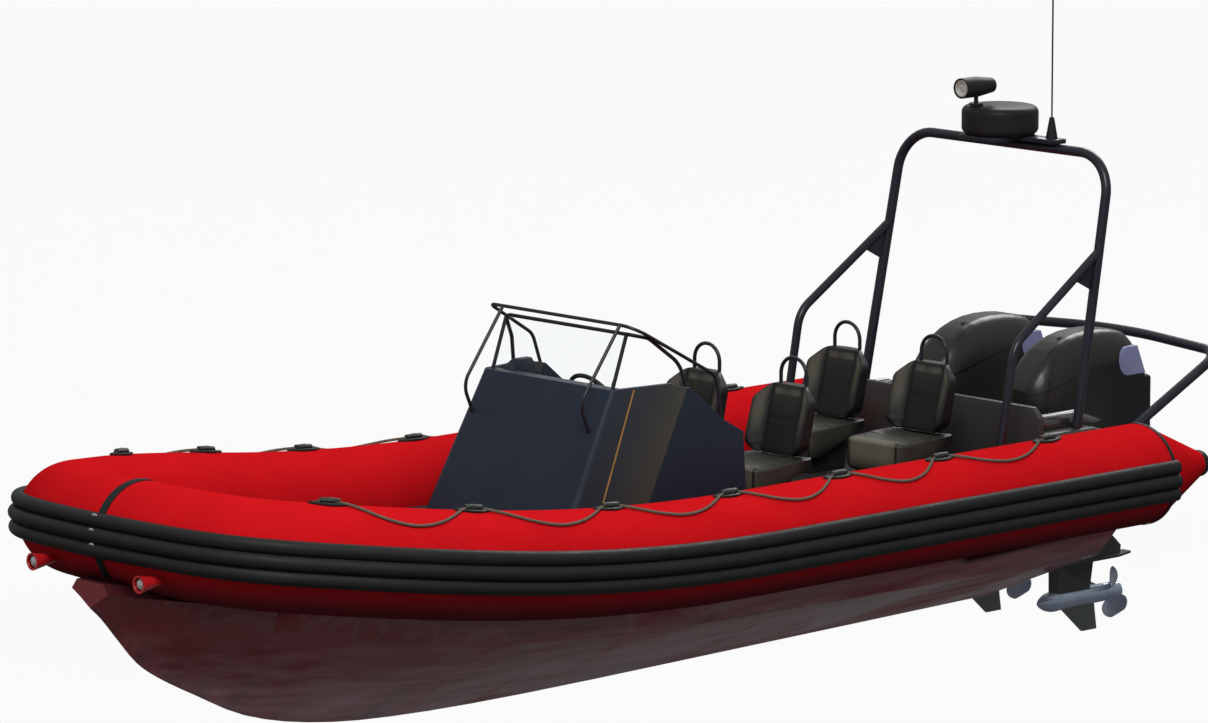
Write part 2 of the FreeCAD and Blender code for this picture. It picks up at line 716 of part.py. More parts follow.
def console():
    foot = console_outline(size["console_front_foot"], size["console_corner_foot"],
                           size["console_fold_foot"], size["console_half_foot"],
                           size["deck_height"])
    head = console_outline(size["console_front_top"], size["console_corner_top"],
                           size["console_fold"], size["console_half_top"], size["console_top"])
    body = Part.makeLoft([foot, head], True, True).cut(deck_solid)
    wide = size["console_half_foot"] + 10
    over = size["console_top"] + 10
    fold, aft = size["console_fold"], size["console_aft"]
    above = [(fold, size["console_top"] - 35), (size["cheek_knee_x"], size["cheek_knee_z"]),
             (aft - 10, size["cheek_aft_z"]), (aft - 10, over),
             (fold + 120, over), (fold + 120, size["console_top"] - 10)]
    body = body.cut(slab([(x, -wide, z) for x, z in above], (0, 2 * wide, 0)))
    inner = size["console_half_top"] - size["console_wall"]
    top, lip = dash_point(0), dash_point(1)
    low = size["deck_height"] - 10
    brow = size["console_front_top"] - size["dash_brow"]
    hollow = [(brow, over), (brow, size["console_top"]), (top.x, top.z), (lip.x, lip.z), (lip.x, lip.z - 50),
              (lip.x + 190, lip.z - 150), (lip.x + 220, low), (aft - 10, low), (aft - 10, over)]
    hollow = slab([(x, -inner, z) for x, z in hollow], (0, 2 * inner, 0))
    lead = size["console_corner_top"] - size["console_wall"]
    plan = [(size["console_front_top"], lead), (fold, inner), (aft - 10, inner)]
    plan += [(x, -y) for x, y in reversed(plan)]
    between_cheeks = slab([(x, y, low) for x, y in plan], (0, 0, over - low))
    body = body.cut(hollow.common(between_cheeks))
    body = body.cut(wheel_shaft_room()).removeSplitter()
    feature("console", body)
    return body


def helm(shell):
    """The panel, the binnacle, the throttle box and the wheel on its shaft."""
    top, lip = dash_point(0), dash_point(1)
    slope = (top - lip).normalize()
    normal = Vec(-slope.z, 0, slope.x)
    half = size["console_half_top"] - size["console_wall"] - 40
    length = (top - lip).Length - 80
    start = lip + slope * 40
    sides = Vec(0, half, 0)
    panel = Part.Face(Part.makePolygon([start - sides, start + sides,
                                        start + sides + slope * length,
                                        start - sides + slope * length, start - sides]))
    panel = panel.extrude(normal * size["panel_thickness"])
    centre, axis = wheel_line()
    shaft = size["helm_shaft_radius"]
    boss = Part.makeCylinder(size["helm_boss_radius"], 90, centre - axis * 115, axis)
    panel = panel.cut(Part.makeCylinder(size["helm_boss_radius"] + size["seat_gap"], 90,
                                        centre - axis * 115, axis))
    boss = boss.cut(shell)
    boss = boss.cut(Part.makeCylinder(shaft + size["running_gap"], 60, centre - axis * 75, axis))
    boss = max(boss.Solids, key=lambda solid: solid.Volume)
    joined("instrument_panel", [panel, boss])
    wheel = [Part.makeTorus(size["wheel_radius"], size["wheel_rim"], centre, axis),
             Part.makeCylinder(30, 32, centre - axis * 18, axis),
             Part.makeCylinder(shaft, 60, centre - axis * 70, axis)]
    for spoke in range(3):
        turn = FreeCAD.Rotation(axis, 90 + 120 * spoke)
        reach = turn.multVec(axis.cross(Vec(0, 1, 0)))
        wheel.append(Part.makeCylinder(9, size["wheel_radius"], centre, reach))
    feature("steering_wheel", fused(wheel))
    base = start + slope * (length * 0.42) + normal * size["panel_thickness"] + Vec(0, 30, 0)
    box = Part.Face(Part.makePolygon([base, base + Vec(0, 110, 0),
                                      base + Vec(0, 110, 0) + slope * 120,
                                      base + slope * 120, base])).extrude(normal * 55)
    throttle = [box]
    for y in (30, 80):
        root = base + Vec(0, y, 0) + slope * 60 + normal * 40
        tip = root + normal * 85 - slope * 55
        throttle.append(Part.makeCylinder(7, (tip - root).Length, root, tip - root))
        throttle.append(Part.makeSphere(17, tip))
    feature("throttle_box", fused(throttle))
    hood = wedge("binnacle_blank", ("0", "-binnacle_side"),
                 ("dash_top_x + 90", "console_front_top - 20", "98"),
                 ("dash_top_x + 110", "console_front_top - 120", "22"),
                 "console_top - 60", "console_top + binnacle_height")
    doc.recompute()
    feature("binnacle", hood.Shape.cut(shell))


def windscreen(shell):
    """A pipe frame with a clear pane, and the grab rail outside it."""
    pipe = size["screen_pipe"] / 2
    side, top = size["screen_half"], size["screen_top"]
    foot = Vec(size["console_front_top"] - 45, side, size["console_top"])
    head = Vec(foot.x - size["screen_lean"], side, top)
    inside = size["console_half_top"] - size["console_wall"] - pipe - size["seat_gap"]
    fold = size["console_fold"]
    hoop = [(fold - 50, inside, size["console_top"] - 140), (fold + 42, inside, top - 192),
            (fold + 278, inside, top - 25), (head.x, size["console_half_top"] - 60, top),
            (head.x, -side - 12, top), (head.x - 50, -side - 12, top - 130),
            (head.x - 70, -side - 12, size["console_top"] - 75)]
    pipes = [bent_pipe(hoop, (200, 100, 60, 45, 90), pipe)]
    for sign in (1, -1):
        low, high = Vec(foot.x, sign * side, foot.z - 10), Vec(head.x, sign * side, top)
        pipes.append(Part.makeCylinder(pipe, (high - low).Length, low, high - low))
    frame = fused(pipes).cut(shell)
    frame = max(frame.Solids, key=lambda solid: solid.Volume)
    feature("windscreen_frame", frame)
    rise = (head - foot).normalize()
    thick = Vec(rise.z, 0, -rise.x) * size["pane_thickness"]
    half = side - pipe - size["seat_gap"]
    low = Vec(foot.x - thick.x / 2, -half, foot.z + size["seat_gap"] + 2)
    tall = rise * ((head - foot).Length - pipe - size["seat_gap"] - 3)
    outline = [low, low + tall, low + tall + thick, low + thick, low]
    pane = Part.Face(Part.makePolygon(outline)).extrude(Vec(0, 2 * half, 0)).cut(frame)
    feature("windscreen_pane", max(pane.Solids, key=lambda solid: solid.Volume))
    bar = size["rail_pipe"] / 2
    wall = size["console_half_top"] - size["console_wall"] / 2 + 5
    knee = Vec(size["cheek_knee_x"], wall, size["cheek_knee_z"])
    rail_x, rail_z = size["rail_x"], size["rail_top"]
    hoop = [(knee.x - 8, wall, knee.z - 20), (knee.x + 40, wall, knee.z + 250),
            (rail_x, wall - 8, rail_z), (rail_x, -wall, rail_z),
            (rail_x - 330, -wall, rail_z - 205), (rail_x - 395, -wall, size["console_top"] - 45)]
    pipes = [bent_pipe(hoop, (90, 110, 50, 110), bar)]
    for sign in (1, -1):
        side = sign * size["rail_half"]
        low = size["console_top"] - 235
        leg = [(rail_x, side, rail_z), (front_face_x(low) + 62, side, size["console_top"] - 65),
               (front_face_x(low) - 15, side, low - 10)]
        pipes.append(bent_pipe(leg, (120,), bar))
    rail = fused(pipes).cut(shell)
    feature("console_rail", max(rail.Solids, key=lambda solid: solid.Volume))


console_shell = console()
helm(console_shell)
windscreen(console_shell)


# ---- seats: two rows of two, facing forward ----

# a back's levels: share of its height, share of its width, share of the bolsters' reach
SEAT_BACK = ((0, 0.72, 0.35), (0.16, 1, 1), (0.78, 1, 0.8), (1, None, 0.05))


def seat_lean():
    """How far a back's top lies behind its foot."""
    rise = size["back_top"] - size["cushion_top"]
    return rise * math.tan(math.radians(size["back_lean"]))


def seat_back():
    """A leaning back whose bolsters reach forward either side of a flat panel."""
    foot = size["cushion_top"] + size["seat_gap"]
    levels = []
    for high, width, reach in SEAT_BACK:
        half = (size["back_top_width"] if width is None else width * size["back_width"]) / 2
        front = 20 - high * (30 + seat_lean())
        rear = 20 - size["back_thickness"] - high * seat_lean()
        tip = front + reach * size["bolster_reach"]
        panel = min(size["back_panel_half"], half - 20)
        port = [(front, panel), (tip, half - 14), (tip - 28, half), (rear + 15, half - 6),
                (rear, 0.7 * half)]
        outline = port + [(x, -y) for x, y in reversed(port)]
        z = foot + high * (size["back_top"] - foot)
        levels.append(polygon([(x, y, z) for x, y in outline]))
    return Part.makeLoft(levels, True, True)


def seat_cushion():
    """A thick cushion, deep at its front, with a bottom that rises aft under the back."""
    top, front = size["cushion_top"], size["cushion_length"]
    deep, shallow = top - size["cushion_front_depth"], top - size["cushion_rear_depth"]
    rear = -size["cushion_overhang"]
    outline = [(rear, top), (rear, shallow), (front - 60, deep), (front, deep),
               (front, top - 30), (front - 25, top)]
    half = size["cushion_width"] / 2
    return slab([(x, -half, z) for x, z in outline], (0, 2 * half, 0))


def seats():
    pedestals, cushions, backs, hoops = [], [], [], []
    cushion, back = seat_cushion(), seat_back()
    for row in range(2):
        for name, sign in SIDES:
            seat = "seat_%s_%s" % (("front", "rear")[row], name)
            x = "seat_row_one - %d * seat_row_pitch" % row
            y = "%d * seat_half_spacing" % sign
            place = Vec(value_of(x), value_of(y), 0)
            block = primitive(
                "Box", seat + "_pedestal", (x + " + 50", y + " - pedestal_width / 2", "deck_height"),
                Length="pedestal_length", Width="pedestal_width",
                Height="cushion_top - cushion_rear_depth - deck_height")
            cushions.append(cushion.translated(place))
            backs.append(back.translated(place))
            pedestals.append(block)
            along = place.x + 5 - size["back_thickness"] / 2 - seat_lean()
            half = size["hoop_width"] / 2
            base, top = size["back_top"] + size["seat_gap"], size["hoop_top"]
            route = [(along, place.y + side * half, z)
                     for side, z in ((1, base), (1, top), (-1, top), (-1, base))]
            hoops.append(bent_pipe(route, (half * 0.96, half * 0.96), size["hoop_pipe"] / 2))
    doc.recompute()
    joined("seat_pedestals", [block.Shape.cut(pad) for block, pad in zip(pedestals, cushions)])
    joined("seat_cushions", cushions)
    joined("seat_backs", backs)
    joined("seat_hoops", hoops)


seats()


# ---- radar arch ----

def arch():
    pipe = size["arch_pipe"] / 2
    rise = size["arch_top"] - size["pod_top"]
    top_x = size["arch_foot_x"] - rise * math.tan(math.radians(size["arch_lean"]))
    foot = Vec(size["arch_foot_x"], size["arch_foot_side"], size["pod_top"])
    top = Vec(top_x, size["arch_top_side"], size["arch_top"])
    route = across([tuple(foot), tuple(top)])
    hoop = bent_pipe(route, (size["arch_bend"],) * 2, pipe)
    room = bent_pipe(route, (size["arch_bend"],) * 2, pipe + size["seat_gap"])
    level = Part.makeBox(800, 3000, 200, Vec(foot.x - 400, -1500, foot.z - 200))
    hoop = hoop.cut(level)
    feature("arch_hoop", hoop)
    share = (size["brace_head_z"] - foot.z) / rise
    head = foot + (top - foot) * share
    side = size["brace_side"]
    leg = [(size["brace_foot_x"], side, size["deck_height"]),
           (size["brace_knee_x"], side, size["brace_knee_z"]), tuple(head)]
    brace = bent_pipe(leg, (size["brace_bend"],), size["brace_pipe"] / 2)
    brace_room = bent_pipe(leg, (size["brace_bend"],), size["brace_pipe"] / 2 + size["seat_gap"])
    floor = Part.makeBox(800, 3000, 200, Vec(leg[0][0] - 400, -1500, leg[0][2] - 200))
    brace = max(brace.cut(room).cut(floor).Solids, key=lambda solid: solid.Volume)
    knee = Vec(*leg[1])
    low_share = (size["brace_head_z"] - 230 - foot.z) / rise
    corners = [head, head + (knee - head).normalize() * 260, foot + (top - foot) * low_share]
    corners = [Vec(point.x, head.y, point.z) for point in corners]
    gusset = Part.Face(Part.makePolygon(corners + corners[:1]))
    gusset = gusset.extrude(Vec(0, size["gusset_thickness"], 0))
    gusset = gusset.translated(Vec(0, -size["gusset_thickness"] / 2, 0))
    gusset = max(gusset.cut(room).cut(brace_room).Solids, key=lambda solid: solid.Volume)
    joined("arch_braces", [brace, mirrored(brace)])
    joined("arch_gussets", [gusset, mirrored(gusset)])
    return top_x


def masthead(bar_x):
    seat = size["arch_top"] + size["arch_pipe"] / 2 + size["seat_gap"]
    thick = size["radome_base"] - seat
    plates = [Part.makeBox(340, 300, thick, Vec(bar_x - 90, -150, seat)),
              Part.makeBox(110, size["antenna_side"] + 65, thick, Vec(bar_x - 55, 0, seat))]
    feature("masthead_plate", fused(plates))
    dome = Part.makeCylinder(size["radome_radius"], size["radome_height"],
                             Vec(size["radome_x"], 0, size["radome_base"]))
    rims = [edge for edge in dome.Edges if edge.Closed and len(edge.Vertexes) == 1]
    feature("radome", dome.makeFillet(38, rims))
    top = size["radome_base"] + size["radome_height"]
    light = Vec(size["light_x"], -60, size["light_z"])
    half = size["light_length"] / 2
    ahead = Vec(1, 0, 0)
    body = [Part.makeCylinder(size["light_radius"], half, light, ahead),
            Part.makeCone(size["light_radius"] * 0.72, size["light_radius"], half,
                          light - ahead * half, ahead)]
    body = fused(body)
    cup = Part.makeCylinder(size["light_radius"] - 8, 22, light + ahead * (half - 22), ahead)
    feature("searchlight_body", body.cut(cup))
    feature("searchlight_lens", Part.makeCylinder(size["light_radius"] - 8, 14,
                                                  light + ahead * (half - 22), ahead))
    low = Vec(light.x, light.y, top)
    stem = [Part.makeCylinder(42, 12, low),
            Part.makeCylinder(13, light.z - size["light_radius"] * 0.7 - top, low)]
    room = Part.makeCylinder(size["light_radius"] + size["seat_gap"], half, light, ahead)
    tail = Part.makeCone(size["light_radius"] * 0.72 + size["seat_gap"],
                         size["light_radius"] + size["seat_gap"], half, light - ahead * half, ahead)
    feature("searchlight_stem", fused(stem).cut([room, tail]))
    base = Vec(bar_x, size["antenna_side"], size["radome_base"])
    mast = [Part.makeCone(36, 14, 125, base),
            Part.makeCylinder(5, size["antenna_top"] - base.z, base)]
    feature("antenna", fused(mast))


masthead(arch())


# ---- guard rail behind the engines ----

def guard():
    foot = (size["pod_aft"], size["guard_foot_side"], size["guard_foot_z"])
    route = [foot, (size["guard_corner_x"], size["guard_corner_side"], size["guard_corner_z"]),
             (size["guard_mid_x"], 0, size["guard_mid_z"])]
    route = across(route)
    bend = size["guard_bend"]
    rail = bent_pipe(route, (bend, 2400, bend), size["guard_pipe"] / 2)
    pods = Part.makeBox(400, 3000, 800, Vec(size["pod_aft"], -1500, size["guard_foot_z"] - 400))
    feature("engine_guard", rail.cut(pods))


guard()


# ---- outboard engines: each drawn on the centreline, then moved to its side ----

def spread(label, shape):
    """The same piece on the port and the starboard engine, as two nodes."""
    for name, sign in SIDES:
        feature("%s_%s" % (label, name), shape.translated(Vec(0, sign * size["engine_side"], 0)))


def both(label, shape):
    joined(label, [shape.translated(Vec(0, sign * size["engine_side"], 0)) for name, sign in SIDES])


def thick_plate(outline, half):
    """A side profile (x, z) with a half thickness either side of the centre plane."""
    return slab([(x, -half, z) for x, z in outline], (0, 2 * half, 0))


def side_shaft(radius, half, x, z):
    return Part.makeCylinder(radius, 2 * half, Vec(x, -half, z), Vec(0, 1, 0))


def clamp_bracket():
    face, foot, top = size["transom_aft"], size["clamp_foot"], size["clamp_top"]
    outline = [(face, foot), (face - 60, foot), (face - 82, top), (face + 65, top),
               (face + 65, top - 82), (face, top - 82)]
    inner, outer = size["clamp_inner"], size["clamp_inner"] + size["clamp_thickness"]
    bracket = thick_plate(outline, outer).cut(thick_plate(
        [(face - 200, foot - 10), (face - 14, foot - 10), (face - 14, top - 78),
         (face + 50, top - 78), (face + 50, top + 10), (face - 200, top + 10)], inner))
    hole = side_shaft(size["tilt_pin_radius"] + size["running_gap"], outer + 10,
                      size["tilt_x"], size["tilt_z"])
    return bracket.cut(hole)


def swivel_bracket():
    x, z = size["tilt_x"], size["tilt_z"]
    bottom, top = size["barrel_bottom"], size["barrel_top"]
    tube = side_shaft(size["tilt_tube_radius"], size["clamp_inner"] - 7, x, z)
    pin = side_shaft(size["tilt_pin_radius"], size["clamp_inner"] + size["clamp_thickness"] + 5, x, z)
    barrel = Part.makeCylinder(size["barrel_radius"], top - bottom, Vec(size["steer_x"], 0, bottom))
    web = thick_plate([(size["steer_x"], 0), (x - 5, 90), (x, z), (size["steer_x"], z)], 40)
    swivel = fused([tube, pin, barrel, web])
    bore = Part.makeCylinder(size["shaft_radius"] + size["running_gap"], top - bottom + 20,
                             Vec(size["steer_x"], 0, bottom - 10))
    return swivel.cut(bore)


def leg_section(front, rear, half, z, chamfer):
    corners = [(front, half - chamfer), (front - chamfer, half), (rear + chamfer, half),
               (rear, half - chamfer)]
    return polygon([(x, y, z) for x, y in corners] + [(x, -y, z) for x, y in reversed(corners)])


def gearcase_outline(margin):
    """Half profile of the gearcase about its shaft line."""
    nose, tail, radius = size["gear_nose"], size["gear_tail"], size["gear_radius"]
    z = size["gear_z"]
    points = [Vec(nose + margin, 0, z), Vec(nose - 60, 0, z + radius * 0.75 + margin),
              Vec(nose - 170, 0, z + radius + margin)]
    end = Vec(tail - margin, 0, z + size["hub_radius"] + margin)
    axis_end = Vec(tail - margin, 0, z)
    edges = [Part.Arc(*points).toShape(), Part.LineSegment(points[2], end).toShape(),
             Part.LineSegment(end, axis_end).toShape(),
             Part.LineSegment(axis_end, points[0]).toShape()]
    return Part.Face(Part.Wire(edges)).revolve(Vec(0, 0, z), Vec(1, 0, 0), 360)


def engine_leg():
    """The steered midsection, its two yokes round the swivel and the strut of the gearcase."""
    x, shaft = size["steer_x"], size["shaft_radius"]
    gap, thick = size["yoke_gap"], size["yoke_thickness"]
    low = size["barrel_bottom"] - gap - thick
    high = size["barrel_top"] + gap
    front, rear = size["leg_front"], size["leg_rear"]
    top = size["cowl_bottom"] - size["seat_gap"]
    mid = Part.makeLoft([leg_section(front - 10, rear + 40, 42, size["plate_z"], 25),
                         leg_section(front - 5, rear, size["leg_half_width"], high, 35),
                         leg_section(front + 20, rear - 90, 120, top - 30, 50)], True, True)
    crown = Part.makeLoft([leg_section(front + 20, rear - 90, 120, top - 30, 50),
                           leg_section(front + 60, rear - 130, 130, top, 50)], True, True)
    yokes = [Part.makeBox(x + 40 - (front - 60), 90, thick, Vec(front - 60, -45, z))
             for z in (low, high)]
    pin = Part.makeCylinder(shaft, high + thick - low, Vec(x, 0, low))
    half = size["plate_half_width"]
    z = size["plate_z"] - size["plate_thickness"] / 2
    outline = [(front + 5, 20), (front - 60, half * 0.75), (front - 230, half),
               (rear - 210, half), (size["plate_tail"], 30)]
    outline = outline + [(px, -py) for px, py in reversed(outline)]
    cover = slab([(px, py, z) for px, py in outline], (0, 0, size["plate_thickness"]))
    strut = Part.makeLoft([leg_section(front + 30, rear - 25, 34, size["gear_z"] + 20, 30),
                           leg_section(front + 30, rear - 55, 42, z + 3, 36)], True, True)
    fairing = thick_plate([(rear + 50, z + 5), (size["plate_tail"] + 90, z + 5),
                           (size["plate_tail"] + 85, z + 60), (size["plate_tail"] + 145, z + 115),
                           (rear - 10, z + 275), (rear + 50, z + 295)], 27)
    body = fused([mid, crown, pin, cover, strut, fairing] + yokes)
    return body.cut(gearcase_outline(size["seat_gap"]))


def gearcase():
    z, root = size["gear_z"], size["gear_z"] - 45
    body = gearcase_outline(0)
    skeg = thick_plate([(size["gear_nose"] - 197, root), (size["gear_tail"] + 65, root),
                        (size["gear_tail"] + 40, size["skeg_tip"]),
                        (size["gear_tail"] + 165, size["skeg_tip"])], 7)
    bore = Part.makeCylinder(size["helm_shaft_radius"] + size["running_gap"], 60,
                             Vec(size["gear_tail"] - 1, 0, z), Vec(1, 0, 0))
    return fused([body, skeg]).cut(bore)


def propeller():
    z = size["gear_z"]
    fore = size["gear_tail"] - size["prop_gap"]
    length = size["hub_length"]
    aft = Vec(-1, 0, 0)
    hub = Part.makeCone(size["hub_radius"], size["hub_radius"] * 0.86, length,
                        Vec(fore, 0, z), aft)
    pin = Part.makeCylinder(size["helm_shaft_radius"], 52, Vec(fore + 50, 0, z), aft)
    pieces = [hub, pin]
    radius, thick = size["prop_radius"], size["blade_thickness"]
    for blade in range(3):
        outline = [(-42, 0), (-62, 50), (-70, radius * 0.62), (-48, radius * 0.9), (0, radius),
                   (44, radius * 0.9), (66, radius * 0.6), (58, 50), (42, 0)]
        flat = Part.Face(polygon([(px, -thick / 2, pz) for px, pz in outline]))
        paddle = flat.extrude(Vec(0, thick, 0))
        paddle = paddle.rotated(Vec(0, 0, 0), Vec(0, 0, 1), size["blade_pitch"])
        paddle = paddle.rotated(Vec(0, 0, 0), Vec(1, 0, 0), 120 * blade - 20)
        pieces.append(paddle.translated(Vec(fore - length / 2, 0, z)))
    return fused(pieces)


# side profiles of the three cowl panels, which share their seams:
# share of the cowl's length from its front, share of its height from its bottom
COWL_LOWER = ((0, 0), (0, 0.486), (0.335, 0.645), (0.576, 0.769), (0.67, 0.741), (0.743, 0.563),
              (0.942, 0.563), (0.942, 0.502), (1, 0.502), (1, 0))
COWL_TAIL = ((0.67, 0.741), (0.743, 0.563), (0.942, 0.563), (0.874, 0.833), (0.77, 0.83))
COWL_UPPER = ((0, 0.486), (0.016, 0.6), (0.079, 0.72), (0.178, 0.842), (0.336, 0.957), (0.515, 1),
              (0.696, 0.985), (0.806, 0.944), (0.874, 0.887), (0.874, 0.833), (0.77, 0.83),
              (0.67, 0.741), (0.576, 0.769), (0.335, 0.645))


def cowl_profile(shares):
    """A side profile's shares as points (x, z)."""
    length = size["cowl_front"] - size["cowl_rear"]
    height = size["cowl_apex"] - size["cowl_bottom"]
    return [(size["cowl_front"] - along * length, size["cowl_bottom"] + high * height)
            for along, high in shares]


def cowl_room():
    """The rounded block that all cowl panels are cut from."""
    front, rear, half = size["cowl_front"], size["cowl_rear"], size["cowl_half_width"]
    bottom, apex = size["cowl_bottom"], size["cowl_apex"]
    plan = Part.makeBox(front - rear, 2 * half, apex + 50 - bottom, Vec(rear, -half, bottom))
    for x, corner in ((front, size["cowl_front_corner"]), (rear, size["cowl_rear_corner"])):
        uprights = [edge for edge in plan.Edges
                    if edge.BoundBox.ZLength > 100 and abs(edge.CenterOfMass.x - x) < 1]
        plan = plan.makeFillet(corner, uprights)
    first, last = Vec(rear - 10, half, apex - 250), Vec(rear - 10, half - 130, apex)
    middle = Vec(rear - 10, half - 32, apex - 88)
    lower = [Vec(rear - 10, y, z) for y, z in ((-half, bottom + 30), (-half + 30, bottom),
                                               (half - 30, bottom), (half, bottom + 30))]
    port = [Part.LineSegment(lower[3], first), Part.Arc(first, middle, last),
            Part.LineSegment(last, Vec(last.x, -last.y, last.z)),
            Part.Arc(Vec(last.x, -last.y, last.z), Vec(middle.x, -middle.y, middle.z),
                     Vec(first.x, -first.y, first.z)),
            Part.LineSegment(Vec(first.x, -first.y, first.z), lower[0])]
    port += [Part.LineSegment(a, b) for a, b in zip(lower, lower[1:])]
    face = Part.Face(Part.Wire([edge.toShape() for edge in port]))
    return plan.common(face.extrude(Vec(front - rear + 20, 0, 0)))


def engines():
    both("engine_clamps", clamp_bracket())
    spread("swivel", swivel_bracket())
    spread("engine_leg", engine_leg())
    spread("gearcase", gearcase())
    spread("propeller", propeller())
    room = cowl_room()
    wide = size["cowl_half_width"] + 20
    for label, outline in (("cowl_lower", COWL_LOWER), ("cowl_tail", COWL_TAIL),
                           ("cowl_upper", COWL_UPPER)):
        panel = room.common(thick_plate(cowl_profile(outline), wide)).removeSplitter()
        spread(label, max(panel.Solids, key=lambda solid: solid.Volume))


engines()


def check_and_write():
    doc.recompute()
    for item in doc.Objects:
        if "Invalid" in item.State or "Error" in item.State:
            raise RuntimeError("%s failed: %s" % (item.Label, item.State))
    for item in made:
        if item.Shape.isNull() or not item.Shape.isValid():
            raise RuntimeError("%s has no valid shape" % item.Label)
    os.makedirs("parts", exist_ok=True)
    for item in made:
        item.Shape.exportStep("parts/%s.step" % item.Label)
        print("%-24s %d solid(s) %.4f m3" % (item.Label, len(item.Shape.Solids), item.Shape.Volume / 1e9))


check_and_write()
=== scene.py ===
import math

import bmesh
import bpy
from mathutils import Matrix, Vector


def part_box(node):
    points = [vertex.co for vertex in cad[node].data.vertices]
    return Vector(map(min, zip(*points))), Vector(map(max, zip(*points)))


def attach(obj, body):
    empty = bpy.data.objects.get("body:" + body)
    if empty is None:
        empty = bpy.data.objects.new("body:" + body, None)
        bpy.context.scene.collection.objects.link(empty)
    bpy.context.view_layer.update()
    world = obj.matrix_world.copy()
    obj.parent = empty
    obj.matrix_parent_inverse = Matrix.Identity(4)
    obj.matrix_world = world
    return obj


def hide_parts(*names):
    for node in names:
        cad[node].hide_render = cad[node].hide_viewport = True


# Dressing of a rigid inflatable boat: soft seats, ropes, smooth moulded skins and finishes.
# Metres. +X runs forward to the bow, +Y to port, +Z up from the waterline.

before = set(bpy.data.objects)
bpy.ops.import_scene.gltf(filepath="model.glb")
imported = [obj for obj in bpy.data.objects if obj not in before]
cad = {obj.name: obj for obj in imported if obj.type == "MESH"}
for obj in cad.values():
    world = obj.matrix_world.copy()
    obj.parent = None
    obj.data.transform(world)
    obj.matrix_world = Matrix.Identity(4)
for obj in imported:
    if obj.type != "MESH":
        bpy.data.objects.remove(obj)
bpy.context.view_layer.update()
SIDES = (("port", 1), ("starboard", -1))

# sizes of the solids that the finishes and the added pieces go by
TUBE_RADIUS = 0.293
TUBE_AFT = Vector((-3.390, 1.220, 0.387))
BOW_AXIS = Vector((3.065, 0, 0.693))
BOW_SLOPE = math.radians(7.3)
DECK_TOP, CONSOLE_TOP = 0.362, 1.195
# the console at its top and at its foot: front edge and rear fold along X, half widths there
CONSOLE_FRONT, CONSOLE_CORNER = (0.140, 0.585), (0.530, 0.585)
CONSOLE_FOLD, CONSOLE_HALF = (-0.390, 0.065), (0.600, 0.650)
LAMP_SIDE, LAMP_HEIGHT = 0.440, 0.538
ENGINE_SIDE = 0.390

# ---- camera and light ----

camera = bpy.data.objects.new("camera", bpy.data.cameras.new("camera"))
bpy.context.scene.collection.objects.link(camera)
camera.location = (27.02, 29.01, 7.758)
camera.rotation_euler = Vector((-0.6766, -0.7184, -0.1613)).to_track_quat("-Z", "Y").to_euler()
camera.data.sensor_width = 36
camera.data.lens = 215.46
camera.data.clip_end = 400
bpy.context.scene.camera = camera
bpy.context.scene.view_settings.view_transform = "Standard"


def soft_lamp(name, place, aim, power, width):
    lamp = bpy.data.objects.new(name, bpy.data.lights.new(name, "AREA"))
    bpy.context.scene.collection.objects.link(lamp)
    lamp.location = place
    lamp.rotation_euler = (Vector(aim) - Vector(place)).to_track_quat("-Z", "Y").to_euler()
    lamp.data.shape = "SQUARE"
    lamp.data.size = width
    lamp.data.energy = power


soft_lamp("key_lamp", (7, 9, 13), (0, 0, 0.4), 1500, 7)
soft_lamp("rim_lamp", (-11, -4, 9), (-2, 0, 0.8), 700, 6)

# ---- shader steps: each takes sockets or constants and returns an output ----


def step(tree, kind, *entries):
    """A shader node whose inputs are fed from (name, socket or constant) pairs."""
    made = tree.nodes.new("ShaderNode" + kind)
    for name, value in entries:
        if isinstance(value, bpy.types.NodeSocket):
            tree.links.new(value, made.inputs[name])
        else:
            made.inputs[name].default_value = value
    return made


def worked(tree, operation, *values):
    """The outcome of a math step."""
    made = step(tree, "Math", *enumerate(values))
    made.operation = operation
    return made.outputs[0]


def ramped(tree, value, start, end, low=0, high=1):
    """A number that goes from low to high as the value goes from start to end."""
    return step(tree, "MapRange", ("Value", value), ("From Min", start), ("From Max", end),
                ("To Min", low), ("To Max", high)).outputs[0]


def blend(tree, mask, first, second, kind="RGBA"):
    """A colour, or a number, that goes from first to second as the mask goes from 0 to 1."""
    mix = tree.nodes.new("ShaderNodeMix")
    mix.data_type = kind
    for name, value in (("Factor", mask), ("A", first), ("B", second)):
        if isinstance(value, bpy.types.NodeSocket):
            tree.links.new(value, mix.inputs[name])
        else:
            mix.inputs[name].default_value = (*value, 1) if kind == "RGBA" else value
    return mix.outputs["Result"]


def noise(tree, place, scale, detail, roughness=0.5):
    return step(tree, "TexNoise", ("Vector", place), ("Scale", scale), ("Detail", detail),
                ("Roughness", roughness)).outputs["Fac"]


def bumped(tree, height, strength, distance):
    return step(tree, "Bump", ("Height", height), ("Strength", strength),
                ("Distance", distance)).outputs[0]


def object_place(tree):
    return tree.nodes.new("ShaderNodeTexCoord").outputs["Object"]


def axes_of(tree, vector):
    return step(tree, "SeparateXYZ", (0, vector)).outputs


def facing(tree):
    """The axes of the surface's normal."""
    return axes_of(tree, tree.nodes.new("ShaderNodeNewGeometry").outputs["Normal"])


# ---- surroundings ----

GROUND_LIGHT, SKY_LIGHT, WHITE_BEHIND = 0.11, 0.62, 1.2
FLOOR_CLEARNESS = 0.988


